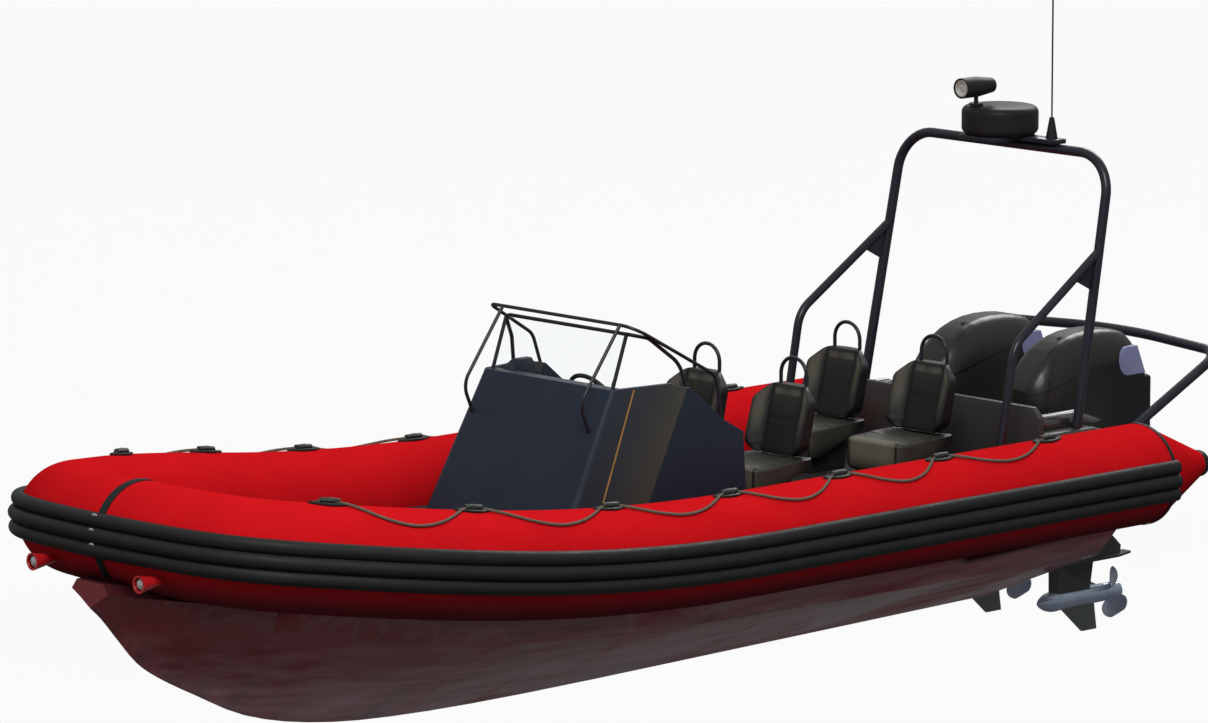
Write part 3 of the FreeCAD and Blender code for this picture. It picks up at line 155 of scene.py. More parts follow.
def studio_world():
    """White behind the object, a bright sky over it and a dim ground under it."""
    world = bpy.data.worlds.new("studio")
    bpy.context.scene.world = world
    world.use_nodes = True
    tree = world.node_tree
    tree.nodes.clear()
    around = tree.nodes.new("ShaderNodeTexCoord").outputs["Generated"]
    level = ramped(tree, axes_of(tree, around)["Z"], -0.4, 0.5, GROUND_LIGHT, SKY_LIGHT)
    rays = tree.nodes.new("ShaderNodeLightPath").outputs
    seen = worked(tree, "MAXIMUM", rays["Is Camera Ray"], rays["Is Transmission Ray"])
    level = blend(tree, seen, level, WHITE_BEHIND, "FLOAT")
    light = step(tree, "Background", ("Strength", level))
    step(tree, "OutputWorld", (0, light.outputs[0]))


def water_sheet():
    """A thin pale floor at the waterline, clear enough to show the hull through it."""
    bpy.ops.mesh.primitive_plane_add(size=60, location=(0, 0, 0))
    floor = bpy.context.object
    floor.name = "waterline_floor"
    material = bpy.data.materials.new("clear_floor")
    material.use_nodes = True
    tree = material.node_tree
    tree.nodes.clear()
    pale = step(tree, "BsdfDiffuse", ("Color", (0.9, 0.91, 0.92, 1)))
    clear = step(tree, "BsdfTransparent")
    sheet = step(tree, "MixShader", ("Fac", FLOOR_CLEARNESS), (1, pale.outputs[0]),
                 (2, clear.outputs[0]))
    step(tree, "OutputMaterial", (0, sheet.outputs[0]))
    floor.data.materials.append(material)


studio_world()
water_sheet()

# ---- shared shader groups ----


def group(name, numbers, label, kind="NodeSocketFloat"):
    """An empty shader node group, its number inputs and its one output."""
    tree = bpy.data.node_groups.new(name, "ShaderNodeTree")
    for entry, value in numbers:
        socket = tree.interface.new_socket(entry, in_out="INPUT", socket_type="NodeSocketFloat")
        socket.default_value = value
    tree.interface.new_socket(label, in_out="OUTPUT", socket_type=kind)
    given = tree.nodes.new("NodeGroupInput").outputs
    return tree, given, tree.nodes.new("NodeGroupOutput").inputs[label]


def use_group(tree, held, *numbers):
    """The output of a shader node group that is fed (name, number) pairs."""
    made = tree.nodes.new("ShaderNodeGroup")
    made.node_tree = held
    for label, value in numbers:
        made.inputs[label].default_value = value
    return made.outputs[0]


def mottle_group():
    """Slow uneven patches, as sun and handling leave."""
    tree, given, out = group("uneven_patches", (("Scale", 4),), "Mask")
    uneven = noise(tree, object_place(tree), given["Scale"], 5, 0.6)
    tree.links.new(ramped(tree, uneven, 0.3, 0.7), out)
    return tree


def grain_group():
    """Fine pebbled grain as a normal."""
    numbers = (("Scale", 400), ("Strength", 0.2), ("Distance", 0.001))
    tree, given, out = group("pebbled_grain", numbers, "Normal", "NodeSocketVector")
    cells = step(tree, "TexVoronoi", ("Vector", object_place(tree)), ("Scale", given["Scale"]))
    cells.feature = "SMOOTH_F1"
    pebbles = bumped(tree, cells.outputs["Distance"], given["Strength"], given["Distance"])
    tree.links.new(pebbles, out)
    return tree


def dust_group():
    """Where dust and salt settle: on faces that look up, in uneven drifts."""
    tree, given, out = group("settled_dust", (("Amount", 0.2),), "Mask")
    upward = ramped(tree, facing(tree)["Z"], 0.5, 1)
    drift = worked(tree, "MULTIPLY", upward, noise(tree, object_place(tree), 9, 6))
    tree.links.new(worked(tree, "MULTIPLY", drift, given["Amount"]), out)
    return tree


def seam_group():
    """A line mask in the side plane: 1 along a straight seam from its start, 0 beside it."""
    numbers = (("Start X", 0), ("Start Z", 0), ("Angle", 0), ("Length", 1), ("Half Width", 0.004))
    tree, given, out = group("side_seam", numbers, "Mask")
    start = step(tree, "CombineXYZ", ("X", given["Start X"]), ("Z", given["Start Z"]))
    turn = step(tree, "CombineXYZ", ("Y", given["Angle"]))
    line = step(tree, "Mapping", ("Vector", object_place(tree)),
                ("Location", start.outputs[0]), ("Rotation", turn.outputs[0]))
    line.vector_type = "TEXTURE"
    axes = axes_of(tree, line.outputs[0])
    near = worked(tree, "LESS_THAN", worked(tree, "ABSOLUTE", axes["Z"]), given["Half Width"])
    begun = worked(tree, "GREATER_THAN", axes["X"], 0)
    ended = worked(tree, "LESS_THAN", axes["X"], given["Length"])
    along = worked(tree, "MULTIPLY", begun, ended)
    tree.links.new(worked(tree, "MULTIPLY", along, near), out)
    return tree


PATCHES_GROUP = mottle_group()
GRAIN_GROUP = grain_group()
DUST_GROUP = dust_group()
SEAM_GROUP = seam_group()

# ---- finishes ----

DUST_COLOUR = (0.30, 0.29, 0.27)


def finish(name, colour, other, patch_scale, rough, grain=None, dust=0, **sockets):
    """A material with uneven colour and gloss, a fine grain and settled dust."""
    material = bpy.data.materials.new(name)
    material.use_nodes = True
    tree = material.node_tree
    shader = tree.nodes["Principled BSDF"].inputs
    patches = use_group(tree, PATCHES_GROUP, ("Scale", patch_scale))
    colour = blend(tree, patches, colour, other)
    if dust:
        settled = use_group(tree, DUST_GROUP, ("Amount", dust))
        colour = blend(tree, settled, colour, DUST_COLOUR)
    tree.links.new(colour, shader["Base Color"])
    tree.links.new(ramped(tree, patches, 0, 1, *rough), shader["Roughness"])
    if grain:
        numbers = zip(("Scale", "Strength", "Distance"), grain)
        tree.links.new(use_group(tree, GRAIN_GROUP, *numbers), shader["Normal"])
    for label, value in sockets.items():
        shader[label.replace("_", " ").title().replace("Ior", "IOR")].default_value = value
    return material


def painted(material):
    """A finish's tree, the inputs of its shader and the colour that feeds them."""
    tree = material.node_tree
    shader = tree.nodes["Principled BSDF"].inputs
    return tree, shader, shader["Base Color"].links[0].from_socket


def collar_fabric():
    """Red coated fabric with painted shade: a deep maroon where it turns down towards the water.
    """
    material = finish("collar_red", (0.62, 0.0085, 0.012), (0.55, 0.0075, 0.011), 3, (0.48, 0.58),
                      (1300, 0.05, 0.0006), 0.006, specular_ior_level=0.0)
    tree, shader, red = painted(material)
    # painted shade: faces that look down are darkened to a deep maroon
    under = ramped(tree, facing(tree)["Z"], -0.10, -0.80)
    tree.links.new(blend(tree, under, red, (0.14, 0.020, 0.026)), shader["Base Color"])
    return material


COLLAR = collar_fabric()
STRAKE = finish("strake_rubber", (0.016, 0.0165, 0.017), (0.020, 0.0205, 0.021), 7, (0.45, 0.58),
                (900, 0.1, 0.0008), 0.02, specular_ior_level=0.14)
PATCH = finish("patch_rubber", (0.009, 0.010, 0.010), (0.018, 0.019, 0.019), 30, (0.4, 0.6),
               (700, 0.25, 0.001), 0.03, specular_ior_level=0.2)
CLEAT = finish("cleat_grey", (0.008, 0.010, 0.009), (0.050, 0.056, 0.050), 95, (0.35, 0.6),
               (500, 0.4, 0.001), specular_ior_level=0.3)
DECK = finish("deck_grip", (0.014, 0.015, 0.016), (0.022, 0.023, 0.024), 6, (0.65, 0.8),
              (160, 0.5, 0.002), 0.06, specular_ior_level=0.2)
WALL = finish("moulded_charcoal", (0.043, 0.042, 0.041), (0.049, 0.047, 0.046), 3, (0.30, 0.42),
              (600, 0.05, 0.0006), 0.01, specular_ior_level=0.25)
RIDGE = finish("polished_charcoal", (0.030, 0.029, 0.027), (0.034, 0.032, 0.030), 3,
               (0.14, 0.20), specular_ior_level=0.5, coat_weight=0.5, coat_roughness=0.12)
PANEL = finish("panel_black", (0.009, 0.010, 0.014), (0.014, 0.015, 0.019), 12, (0.4, 0.55),
               (800, 0.15, 0.0006), specular_ior_level=0.25)
GRIP = finish("grip_rubber", (0.010, 0.010, 0.011), (0.016, 0.016, 0.016), 25, (0.5, 0.65),
              (600, 0.3, 0.0008), specular_ior_level=0.25)
PIPE = finish("pipe_navy", (0.013, 0.016, 0.024), (0.017, 0.020, 0.029), 5, (0.22, 0.34),
              (900, 0.03, 0.0005), 0.01, specular_ior_level=0.35)
PEDESTAL = finish("pedestal_grey", (0.016, 0.017, 0.018), (0.024, 0.025, 0.026), 6, (0.35, 0.5),
                  (500, 0.08, 0.0008), 0.02, specular_ior_level=0.25)
WEBBING = finish("webbing_black", (0.013, 0.013, 0.014), (0.020, 0.020, 0.021), 40, (0.7, 0.85),
                 (900, 0.5, 0.001), specular_ior_level=0.2)
LAMP_RED = finish("lamp_red", (0.55, 0.012, 0.016), (0.48, 0.010, 0.014), 10, (0.2, 0.3),
                  coat_weight=0.4)
REFLECTOR = finish("lamp_reflector", (0.75, 0.73, 0.68), (0.42, 0.41, 0.39), 60, (0.25, 0.4),
                   metallic=0.4)
STEEL = finish("polished_steel", (0.62, 0.62, 0.64), (0.52, 0.52, 0.55), 14, (0.12, 0.26),
               metallic=1.0)
ENGINE = finish("engine_black", (0.008, 0.010, 0.012), (0.012, 0.014, 0.016), 8, (0.3, 0.45),
                (700, 0.06, 0.0006), specular_ior_level=0.3)
COWL_PALE = finish("cowl_lavender", (0.26, 0.28, 0.47), (0.19, 0.21, 0.37), 6, (0.25, 0.35),
                   specular_ior_level=0.3)
GEARCASE = finish("gearcase_silver_blue", (0.42, 0.51, 0.66), (0.32, 0.39, 0.52), 9, (0.20, 0.30),
                  metallic=0.40)
SKEG = finish("skeg_grey", (0.078, 0.093, 0.104), (0.095, 0.108, 0.118), 14, (0.4, 0.55),
              specular_ior_level=0.3)
RADOME = finish("radome_black", (0.016, 0.017, 0.016), (0.021, 0.022, 0.021), 5, (0.36, 0.46),
                (900, 0.05, 0.0005), specular_ior_level=0.1)
GOLD = finish("pinstripe_gold", (0.40, 0.22, 0.05), (0.33, 0.18, 0.04), 20, (0.3, 0.45))
SCREEN = finish("display_glass", (0.008, 0.012, 0.016), (0.012, 0.018, 0.022), 12, (0.06, 0.12),
                coat_weight=0.5)
DIAL_WHITE = finish("dial_white", (0.6, 0.6, 0.58), (0.5, 0.5, 0.48), 40, (0.4, 0.55))


def clear_glass(name, colour, rough, bending):
    material = bpy.data.materials.new(name)
    material.use_nodes = True
    tree = material.node_tree
    shader = tree.nodes["Principled BSDF"].inputs
    marks = use_group(tree, PATCHES_GROUP, ("Scale", 18))
    tree.links.new(ramped(tree, marks, 0, 1, *rough), shader["Roughness"])
    shader["Base Color"].default_value = (*colour, 1)
    shader["Transmission Weight"].default_value = 1
    shader["IOR"].default_value = bending
    return material


PANE = clear_glass("pane_glass", (0.96, 0.98, 0.98), (0.0, 0.02), 1.07)
LENS = clear_glass("lens_glass", (0.93, 0.95, 0.95), (0.02, 0.08), 1.2)


def hull_paint():
    """Glossy maroon gelcoat with a painted reflection: paler in long streaky bands towards the
    keel.
    """
    material = finish("hull_maroon", (0.265, 0.044, 0.050), (0.215, 0.038, 0.043), 2,
                      (0.20, 0.30), coat_roughness=0.14)
    tree, shader, maroon = painted(material)
    place = object_place(tree)
    depth = ramped(tree, axes_of(tree, place)["Z"], 0.30, -0.35)
    # painted reflection: long pale streaks laid in the colour towards the keel
    drawn = step(tree, "Mapping", ("Vector", place), ("Scale", (0.7, 3, 6)),
                 ("Rotation", (0, 0.12, 0)))
    painted_reflection = ramped(tree, noise(tree, drawn.outputs[0], 2.2, 4), 0.32, 0.68)
    colour = blend(tree, worked(tree, "MULTIPLY", painted_reflection, depth), maroon, (0.46, 0.24, 0.27))
    # painted shade: faces that look up, which lie close under the collar, are painted dark and
    # made dull
    painted_collar_shade = ramped(tree, facing(tree)["Z"], -0.05, 0.25)
    colour = blend(tree, painted_collar_shade, colour, (0.055, 0.012, 0.015))
    tree.links.new(colour, shader["Base Color"])
    for label, gloss in (("Coat Weight", 0.15), ("Specular IOR Level", 0.22)):
        tree.links.new(ramped(tree, painted_collar_shade, 0, 1, gloss, 0), shader[label])
    return material


def seat_cover():
    """Black leather that turns olive grey where the cover's own "pale" attribute is high: painted
    light, with some of the bolsters' own grey in it.
    """
    material = finish("seat_leather", (0.006, 0.007, 0.008), (0.011, 0.012, 0.012), 9,
                      (0.38, 0.52), (420, 0.3, 0.0012), 0.01, specular_ior_level=0.25)
    tree, shader, black = painted(material)
    pale = tree.nodes.new("ShaderNodeAttribute")
    pale.attribute_name = "pale"
    # painted light: the olive grey is the highlight colour laid on where the "pale" attribute is
    # high
    colour = blend(tree, pale.outputs["Fac"], black, (0.150, 0.142, 0.105))
    tree.links.new(colour, shader["Base Color"])
    return material


# the seam between the halves of a cowl, as x and z in the side plane
COWL_SEAM = ((-3.262, 0.768), (-3.369, 0.802), (-3.581, 0.862), (-3.747, 0.892), (-3.925, 0.900))


def cowl_paint():
    """Brown grey gloss, a dark gap along the upper seam and a black lower rear."""
    material = finish("cowl_brown_grey", (0.024, 0.021, 0.019), (0.019, 0.017, 0.016), 2.5,
                      (0.24, 0.34), specular_ior_level=0.3, coat_weight=0.12,
                      coat_roughness=0.12)
    tree, shader, colour = painted(material)
    for (x, z), (next_x, next_z) in zip(COWL_SEAM, COWL_SEAM[1:]):
        run, rise = next_x - x, next_z - z
        gap = use_group(tree, SEAM_GROUP, ("Start X", x), ("Start Z", z),
                        ("Angle", math.atan2(-rise, run)), ("Length", math.hypot(run, rise)))
        colour = blend(tree, gap, colour, (0.002, 0.002, 0.002))
    axes = axes_of(tree, object_place(tree))
    rear = worked(tree, "MULTIPLY", ramped(tree, axes["X"], -3.74, -3.90),
                  ramped(tree, axes["Z"], 0.930, 0.895))
    tree.links.new(blend(tree, rear, colour, (0.006, 0.008, 0.010)), shader["Base Color"])
    return material


def console_paint():
    """Dark navy gelcoat; on the angled cheeks a painted light turns it olive grey towards their
    rear fold.
    """
    material = finish("console_navy", (0.020, 0.029, 0.047), (0.016, 0.023, 0.038), 2,
                      (0.34, 0.46), specular_ior_level=0.12)
    tree, shader, navy = painted(material)
    axes = axes_of(tree, object_place(tree))
    fold = step(tree, "MapRange", ("Value", axes["Z"]), ("From Min", CONSOLE_TOP),
                ("From Max", DECK_TOP), ("To Min", CONSOLE_FOLD[0]), ("To Max", CONSOLE_FOLD[1]))
    fold.clamp = False
    ahead = worked(tree, "SUBTRACT", axes["X"], fold.outputs[0])
    # painted light: side-facing cheek faces are lightened to olive grey, most just ahead of the
    # fold
    olive = step(tree, "ValToRGB", (0, ramped(tree, ahead, -0.5, 0.5)))
    stops = olive.color_ramp.elements
    for place, level in ((0, 0), (0.500, 0), (0.502, 1), (0.78, 0.35), (1, 0.15)):
        held = stops[-place] if place in (0, 1) else stops.new(place)
        held.color = (level, level, level, 1)
    flank = ramped(tree, worked(tree, "ABSOLUTE", facing(tree)["Y"]), 0.75, 0.95)
    cheek = worked(tree, "MULTIPLY", olive.outputs["Color"], flank)
    tree.links.new(blend(tree, cheek, navy, (0.060, 0.061, 0.050)), shader["Base Color"])
    return material


def rope_braid():
    """Grey-brown braided rope: strands cross at a slant along the piece's own UV map."""
    material = finish("rope_braid", (0.27, 0.225, 0.165), (0.15, 0.125, 0.09), 90, (0.7, 0.85),
                      specular_ior_level=0.2)
    tree, shader, base = painted(material)
    along = tree.nodes.new("ShaderNodeTexCoord").outputs["UV"]
    strands = []
    for slant in (0.9, -0.9):
        lay = step(tree, "Mapping", ("Vector", along), ("Rotation", (0, 0, slant)),
                   ("Scale", (420, 6, 1)))
        wave = step(tree, "TexWave", ("Vector", lay.outputs[0]), ("Scale", 0.5))
        strands.append(wave.outputs["Fac"])
    crossed = worked(tree, "MAXIMUM", *strands)
    tree.links.new(bumped(tree, crossed, 0.8, 0.003), shader["Normal"])
    # painted shade: the grooves between the strands are darkened
    tree.links.new(blend(tree, crossed, (0.03, 0.028, 0.026), base), shader["Base Color"])
    return material


HULL = hull_paint()
LEATHER = seat_cover()
COWL = cowl_paint()
CONSOLE = console_paint()
NAVY = finish("trim_navy", (0.008, 0.013, 0.024), (0.006, 0.010, 0.018), 4, (0.28, 0.4),
              specular_ior_level=0.2)
ROPE = rope_braid()

# the CAD node's own finish: node name or its start, material
NODE_FINISHES = (
    ("tube_cone_caps", STRAKE), ("tube_", COLLAR), ("rub_strake", STRAKE), ("hull", HULL),
    ("deck", DECK), ("bow_strap", WEBBING), ("bow_lamp_housings", LAMP_RED),
    ("bow_lamp_lenses", LENS), ("rope_patches", PATCH), ("lifeline", ROPE),
    ("well_bulkhead", WALL), ("stern_pod", WALL), ("pod_ridge", RIDGE),
    ("console_rail", PIPE), ("console", CONSOLE),
    ("instrument_panel", PANEL), ("steering_wheel", GRIP), ("throttle_box", PANEL),
    ("binnacle", NAVY), ("windscreen_frame", PIPE), ("windscreen_pane", PANE),
    ("seat_pedestals", PEDESTAL), ("seat_hoops", PIPE), ("seat_", LEATHER), ("arch_", PIPE),
    ("masthead_plate", PIPE), ("radome", RADOME), ("searchlight_lens", LENS),
    ("searchlight_body", RADOME), ("searchlight_stem", PIPE), ("antenna", GRIP),
    ("engine_guard", PIPE), ("engine_", ENGINE), ("swivel", ENGINE), ("gearcase", GEARCASE),
    ("propeller", STEEL), ("cowl_tail", COWL_PALE), ("cowl_", COWL),
)
for name, node in cad.items():
    material = next(held for start, held in NODE_FINISHES if name.startswith(start))
    node.data.materials.clear()
    node.data.materials.append(material)

# ---- modelling helpers ----


def select_only(*pieces):
    if bpy.context.object and bpy.context.object.mode != "OBJECT":
        bpy.ops.object.mode_set(mode="OBJECT")
    bpy.ops.object.select_all(action="DESELECT")
    for piece in pieces:
        piece.select_set(True)
    bpy.context.view_layer.objects.active = pieces[0]


def edit(piece, mode="FACE"):
    """Edit mode with nothing selected."""
    select_only(piece)
    bpy.ops.object.mode_set(mode="EDIT")
    bpy.ops.mesh.select_mode(type=mode)
    bpy.ops.mesh.select_all(action="DESELECT")


def edit_all(piece, mode="FACE"):
    edit(piece, mode)
    bpy.ops.mesh.select_all(action="SELECT")


def leave_edit():
    bpy.ops.object.mode_set(mode="OBJECT")


def stepped(piece, steps, axis=(0, 0, 1), least=0.9):
    """Insets the faces that look along an axis and lifts them, for each (inset, lift) pair."""
    axis = Vector(axis)
    edit(piece)
    shape = bmesh.from_edit_mesh(piece.data)
    for face in shape.faces:
        face.select_set(face.normal.dot(axis) > least)
    bmesh.update_edit_mesh(piece.data)
    for inset, lift in steps:
        bpy.ops.mesh.inset(thickness=inset)
        bpy.ops.transform.translate(value=axis * lift)
    leave_edit()


def started(scale=(1, 1, 1)):
    """The primitive just added, with its place, turn and size applied to its mesh."""
    piece = bpy.context.object
    piece.scale = scale
    select_only(piece)
    bpy.ops.object.transform_apply(location=True, rotation=True, scale=True)
    return piece


def apply_modifiers(piece):
    select_only(piece)
    for name in [held.name for held in piece.modifiers]:
        bpy.ops.object.modifier_apply(modifier=name)


def rounded(piece, width, segments=3, angle=30):
    """A bevel along the edges sharper than the angle, applied."""
    bevel = piece.modifiers.new("rounding", "BEVEL")
    bevel.width = width
    bevel.segments = segments
    bevel.limit_method = "ANGLE"
    bevel.angle_limit = math.radians(angle)
    apply_modifiers(piece)


def subdivided(piece):
    piece.modifiers.new("smooth", "SUBSURF").levels = 1
    apply_modifiers(piece)


def thickened(piece, thickness, offset=0):
    wall = piece.modifiers.new("wall", "SOLIDIFY")
    wall.thickness = thickness
    wall.offset = offset
    apply_modifiers(piece)


def settle(piece, name, material, body="boat", angle=35, stands_for=()):
    """Names a finished piece, shades it, lets it ride on a body and stand for CAD nodes."""
    select_only(piece)
    bpy.ops.object.transform_apply(location=True, rotation=True, scale=True)
    bpy.ops.object.shade_smooth_by_angle(angle=math.radians(angle))
    piece.name = name
    piece.data.name = name
    if material is not None:
        piece.data.materials.clear()
        piece.data.materials.append(material)
    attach(piece, body)
    if stands_for:
        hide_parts(*stands_for)
    return piece


def placed(piece, place):
    """Moves a piece's mesh by a matrix."""
    piece.data.transform(place)
    return piece


def copies_of(piece, places):
    """Copies of a piece, one at each matrix, which take its place."""
    twins = []
    for place in places:
        twin = bpy.data.objects.new(piece.name, piece.data.copy())
        bpy.context.scene.collection.objects.link(twin)
        twins.append(placed(twin, place))
    bpy.data.objects.remove(piece)
    return twins


def join(pieces):
    select_only(*pieces)
    bpy.ops.object.join()
    return bpy.context.object


def frame_of(place, forward, up):
    """A matrix with X along forward and Z along up."""
    forward = forward.normalized()
    side = up.cross(forward).normalized()
    up = forward.cross(side)
    turn = Matrix((forward, side, up)).transposed().to_4x4()
    return Matrix.Translation(place) @ turn


def smooth_copy(node, material, body="boat", width=0.004, angle=32, segments=2, crease=28):
    """Stands for a CAD node: its own merged copy with rounded edges and smooth faces."""
    twin = bpy.data.objects.new(node + "_skin", cad[node].data.copy())
    bpy.context.scene.collection.objects.link(twin)
    edit_all(twin, "VERT")
    bpy.ops.mesh.remove_doubles(threshold=0.00002)
    bpy.ops.mesh.dissolve_limited(angle_limit=math.radians(0.6))
    leave_edit()
    if width:
        rounded(twin, width, segments, crease)
    return settle(twin, node + "_skin", material, body, angle, stands_for=[node])


# ---- collar line, for the patches and the lifelines ----

# how the collar's axis runs forward: kind, radius, length in metres or turn in degrees
COLLAR_STEPS = (
    ("run", 0, 3.190), ("rise", 13.700, 7.3), ("turn", 2.270, 26), ("run", 0, 0.250),
)


def collar_point(x, side):
    """The collar's axis at a station, its forward, outward and up directions."""
    place, forward, up = TUBE_AFT.copy(), Vector((1, 0, 0)), Vector((0, 0, 1))
    for kind, radius, amount in COLLAR_STEPS:
        inward = forward.cross(up)
        if kind == "run":
            reach = min((x - place.x) / forward.x, amount)
            place = place + forward * reach
            if reach < amount:
                break
            continue
        axis = inward if kind == "rise" else -up
        centre = place + (up if kind == "rise" else inward) * radius
        arm = place - centre
        low, high = 0.0, math.radians(amount)
        full = Matrix.Rotation(high, 3, axis)
        if (centre + full @ arm).x >= x:
            for halving in range(40):
                middle = (low + high) / 2
                ahead = (centre + Matrix.Rotation(middle, 3, axis) @ arm).x < x
                low, high = (middle, high) if ahead else (low, middle)
        turn = Matrix.Rotation(high, 3, axis)
        place = centre + turn @ arm
        forward = turn @ forward
        up = turn @ up
        if place.x >= x - 0.00001:
            break
    flip = Vector((1, side, 1))
    outward = up.cross(forward)
    return [held * flip for held in (place, forward, outward, up)]


# patches along each side: station, share of the full drop in the hang ahead of it
PATCHES = {
    "port": ((-2.595, 0.9), (-1.721, 1), (-0.915, 1), (-0.065, 0.9), (0.848, 1), (1.834, 1.15),
             (2.610, 0)),
    "starboard": ((-2.490, 0.9), (-1.650, 1), (-0.815, 1), (0.023, 0.9), (0.872, 1),
                  (1.600, 1.15), (2.310, 0)),
}
# one hang of a lifeline: share of the way to the next patch, share of the drop
LINE_HANG = ((0.13, 0.42), (0.31, 0.83), (0.52, 1), (0.73, 0.8), (0.89, 0.38))
# degrees round the collar from its top: where the patches sit, how much lower a hang goes
PATCH_TILT, LINE_DROP = 4, 35
PATCH_REACH = 0.303
LINE_RADIUS = 0.008
LINE_CLEAR, LINE_BEDDED = 0.0055, 0.0015
LINE_HELD = 0.06


def beside_collar(x, side, angle, reach):
    place, forward, outward, up = collar_point(x, side)
    turn = math.radians(angle)
    return place + (up * math.cos(turn) + outward * math.sin(turn)) * reach


def lifeline(name, side):
    """A braided line that runs through every patch and hangs a little between them."""
    points = []
    stations = PATCHES[name]
    bedded = PATCH_REACH + LINE_RADIUS - LINE_BEDDED
    hanging = TUBE_RADIUS + LINE_RADIUS + LINE_CLEAR
    for index, (x, hang) in enumerate(stations):
        for end in (x - LINE_HELD, x + LINE_HELD):
            points.append(beside_collar(end, side, PATCH_TILT, bedded))
        if hang == 0:
            continue
        run = stations[index + 1][0] - x - 2 * LINE_HELD
        for share, drop in LINE_HANG:
            angle = PATCH_TILT + drop * hang * LINE_DROP
            points.append(beside_collar(x + LINE_HELD + share * run, side, angle, hanging))
    path = bpy.data.curves.new("lifeline", "CURVE")
    path.dimensions = "3D"
    line = path.splines.new("NURBS")
    line.points.add(len(points) - 1)
    for spot, point in zip(line.points, points):
        spot.co = (*point, 1)
    line.order_u = 3
    line.use_endpoint_u = True
    line.resolution_u = 10
    path.bevel_depth = LINE_RADIUS
    path.bevel_resolution = 3
    path.use_fill_caps = True
    rope = bpy.data.objects.new("rope_" + name, path)
    bpy.context.scene.collection.objects.link(rope)
    path.materials.append(ROPE)
    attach(rope, "boat")
    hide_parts("lifeline_" + name)


for name, side in SIDES:
    lifeline(name, side)


def patch_pad():
    """A boat-shaped rubber pad, thin at its rim and pointed fore and aft."""
    bpy.ops.mesh.primitive_cylinder_add(vertices=40, radius=1, depth=0.010)
    pad = started()
    for spot in pad.data.vertices:
        along, across = spot.co.x, spot.co.y
        spot.co.x = 0.118 * along
        spot.co.y = 0.046 * across * (1 - 0.45 * along * along)
    stepped(pad, [(0.012, 0.0035)])
    rounded(pad, 0.0015, 2)
    return placed(pad, Matrix.Translation((0, 0, -0.0045)))


def patch_cleat():
    """The moulded guide on a pad that the line runs through."""
    bpy.ops.mesh.primitive_cylinder_add(vertices=32, radius=0.0155, depth=0.075,
                                        rotation=(0, math.pi / 2, 0))
    cleat = started()
    edit_all(cleat)
    for place in (-0.022, -0.010, 0.006, 0.020):
        bpy.ops.mesh.bisect(plane_co=(place, 0, 0), plane_no=(1, 0, 0))
        bpy.ops.mesh.select_all(action="SELECT")
    leave_edit()
    for spot in cleat.data.vertices:
        swell = 1.15 if -0.012 < spot.co.x < 0.008 else 1.0
        spot.co.x *= 1.5
        spot.co.y *= 1.15 * swell
        spot.co.z = spot.co.z * swell if spot.co.z > 0 else spot.co.z * 0.6
    rounded(cleat, 0.003, 3, 25)
    return placed(cleat, Matrix.Translation((0, 0, 0.011)))


def rope_patches():
    seats = []
    tilt = math.radians(PATCH_TILT)
    for name, side in SIDES:
        for x, hang in PATCHES[name]:
            place, forward, outward, up = collar_point(x, side)
            normal = up * math.cos(tilt) + outward * math.sin(tilt)
            seats.append(frame_of(place + normal * (PATCH_REACH - 0.001), forward, normal))
    settle(join(copies_of(patch_pad(), seats)), "patch_pads", PATCH,
           stands_for=["rope_patches"])
    settle(join(copies_of(patch_cleat(), seats)), "patch_cleats", CLEAT)


rope_patches()

# ---- hull and stern skins ----

smooth_copy("hull", HULL, width=0, angle=24)
smooth_copy("well_bulkhead", WALL, width=0.005)
for name, side in SIDES:
    smooth_copy("stern_pod_" + name, WALL, width=0.030, segments=5)
    smooth_copy("pod_ridge_" + name, RIDGE, width=0)


def cone_rings():
    """The black tape over the seam of each stern cone."""
    for name, side in SIDES:
        bpy.ops.mesh.primitive_cylinder_add(
            vertices=96, radius=TUBE_RADIUS + 0.0012, depth=0.024, end_fill_type="NOTHING",
            location=TUBE_AFT * Vector((1, side, 1)), rotation=(0, math.pi / 2, 0))
        ring = bpy.context.object
        thickened(ring, 0.003, 1)
        rounded(ring, 0.001, 2)
        settle(ring, "cone_seam_" + name, STRAKE)


cone_rings()


def round_bow(angle, reach, side=0):
    """A point round the bow tube: the angle is up from straight ahead, in degrees."""
    turn = math.radians(angle) + BOW_SLOPE
    return BOW_AXIS + Vector((math.cos(turn) * reach, side, math.sin(turn) * reach))


def bow_strap():
    """A webbing strap over the bow tube that passes behind the rub strakes."""
    bands = []
    for start, end in ((97, 18), (-18, -50)):
        bpy.ops.mesh.primitive_grid_add(x_subdivisions=28, y_subdivisions=4, size=1)
        band = bpy.context.object
        for spot in band.data.vertices:
            angle = start + (end - start) * (spot.co.x + 0.5)
            crown = 0.0006 * (1 - (spot.co.y * 2) ** 2)
            spot.co = round_bow(angle, TUBE_RADIUS + 0.0035 + crown, -spot.co.y * 0.056)
        thickened(band, 0.0045)
        bands.append(band)
    settle(join(bands), "bow_strap_band", WEBBING, stands_for=["bow_strap"])


bow_strap()


RIB_PITCH, RIB_STAND = 0.078, 0.014


def strap_fittings():
    """Three bright keepers on the ribs in front of the strap."""
    out = round_bow(0, 1) - BOW_AXIS
    up = round_bow(90, 1) - BOW_AXIS
    lifted = (out * 0.72 + up * 0.70).normalized()
    for row, name in ((1, "top"), (0, "middle"), (-1, "low")):
        high = row * RIB_PITCH
        reach = math.sqrt(TUBE_RADIUS ** 2 - high ** 2) + RIB_STAND + 0.029
        bpy.ops.mesh.primitive_cylinder_add(vertices=32, radius=0.016, depth=0.004)
        keeper = started((0.62, 1.35, 1))
        stepped(keeper, [(0.004, 0.002)])
        rounded(keeper, 0.0008, 2)
        seat = frame_of(BOW_AXIS + out * reach + up * (high + 0.0275), -up, lifted)
        placed(keeper, seat)
        settle(keeper, "strap_keeper_" + name, STEEL)


strap_fittings()


LAMP_RIM, LAMP_MOUTH = 3.4405, 3.424


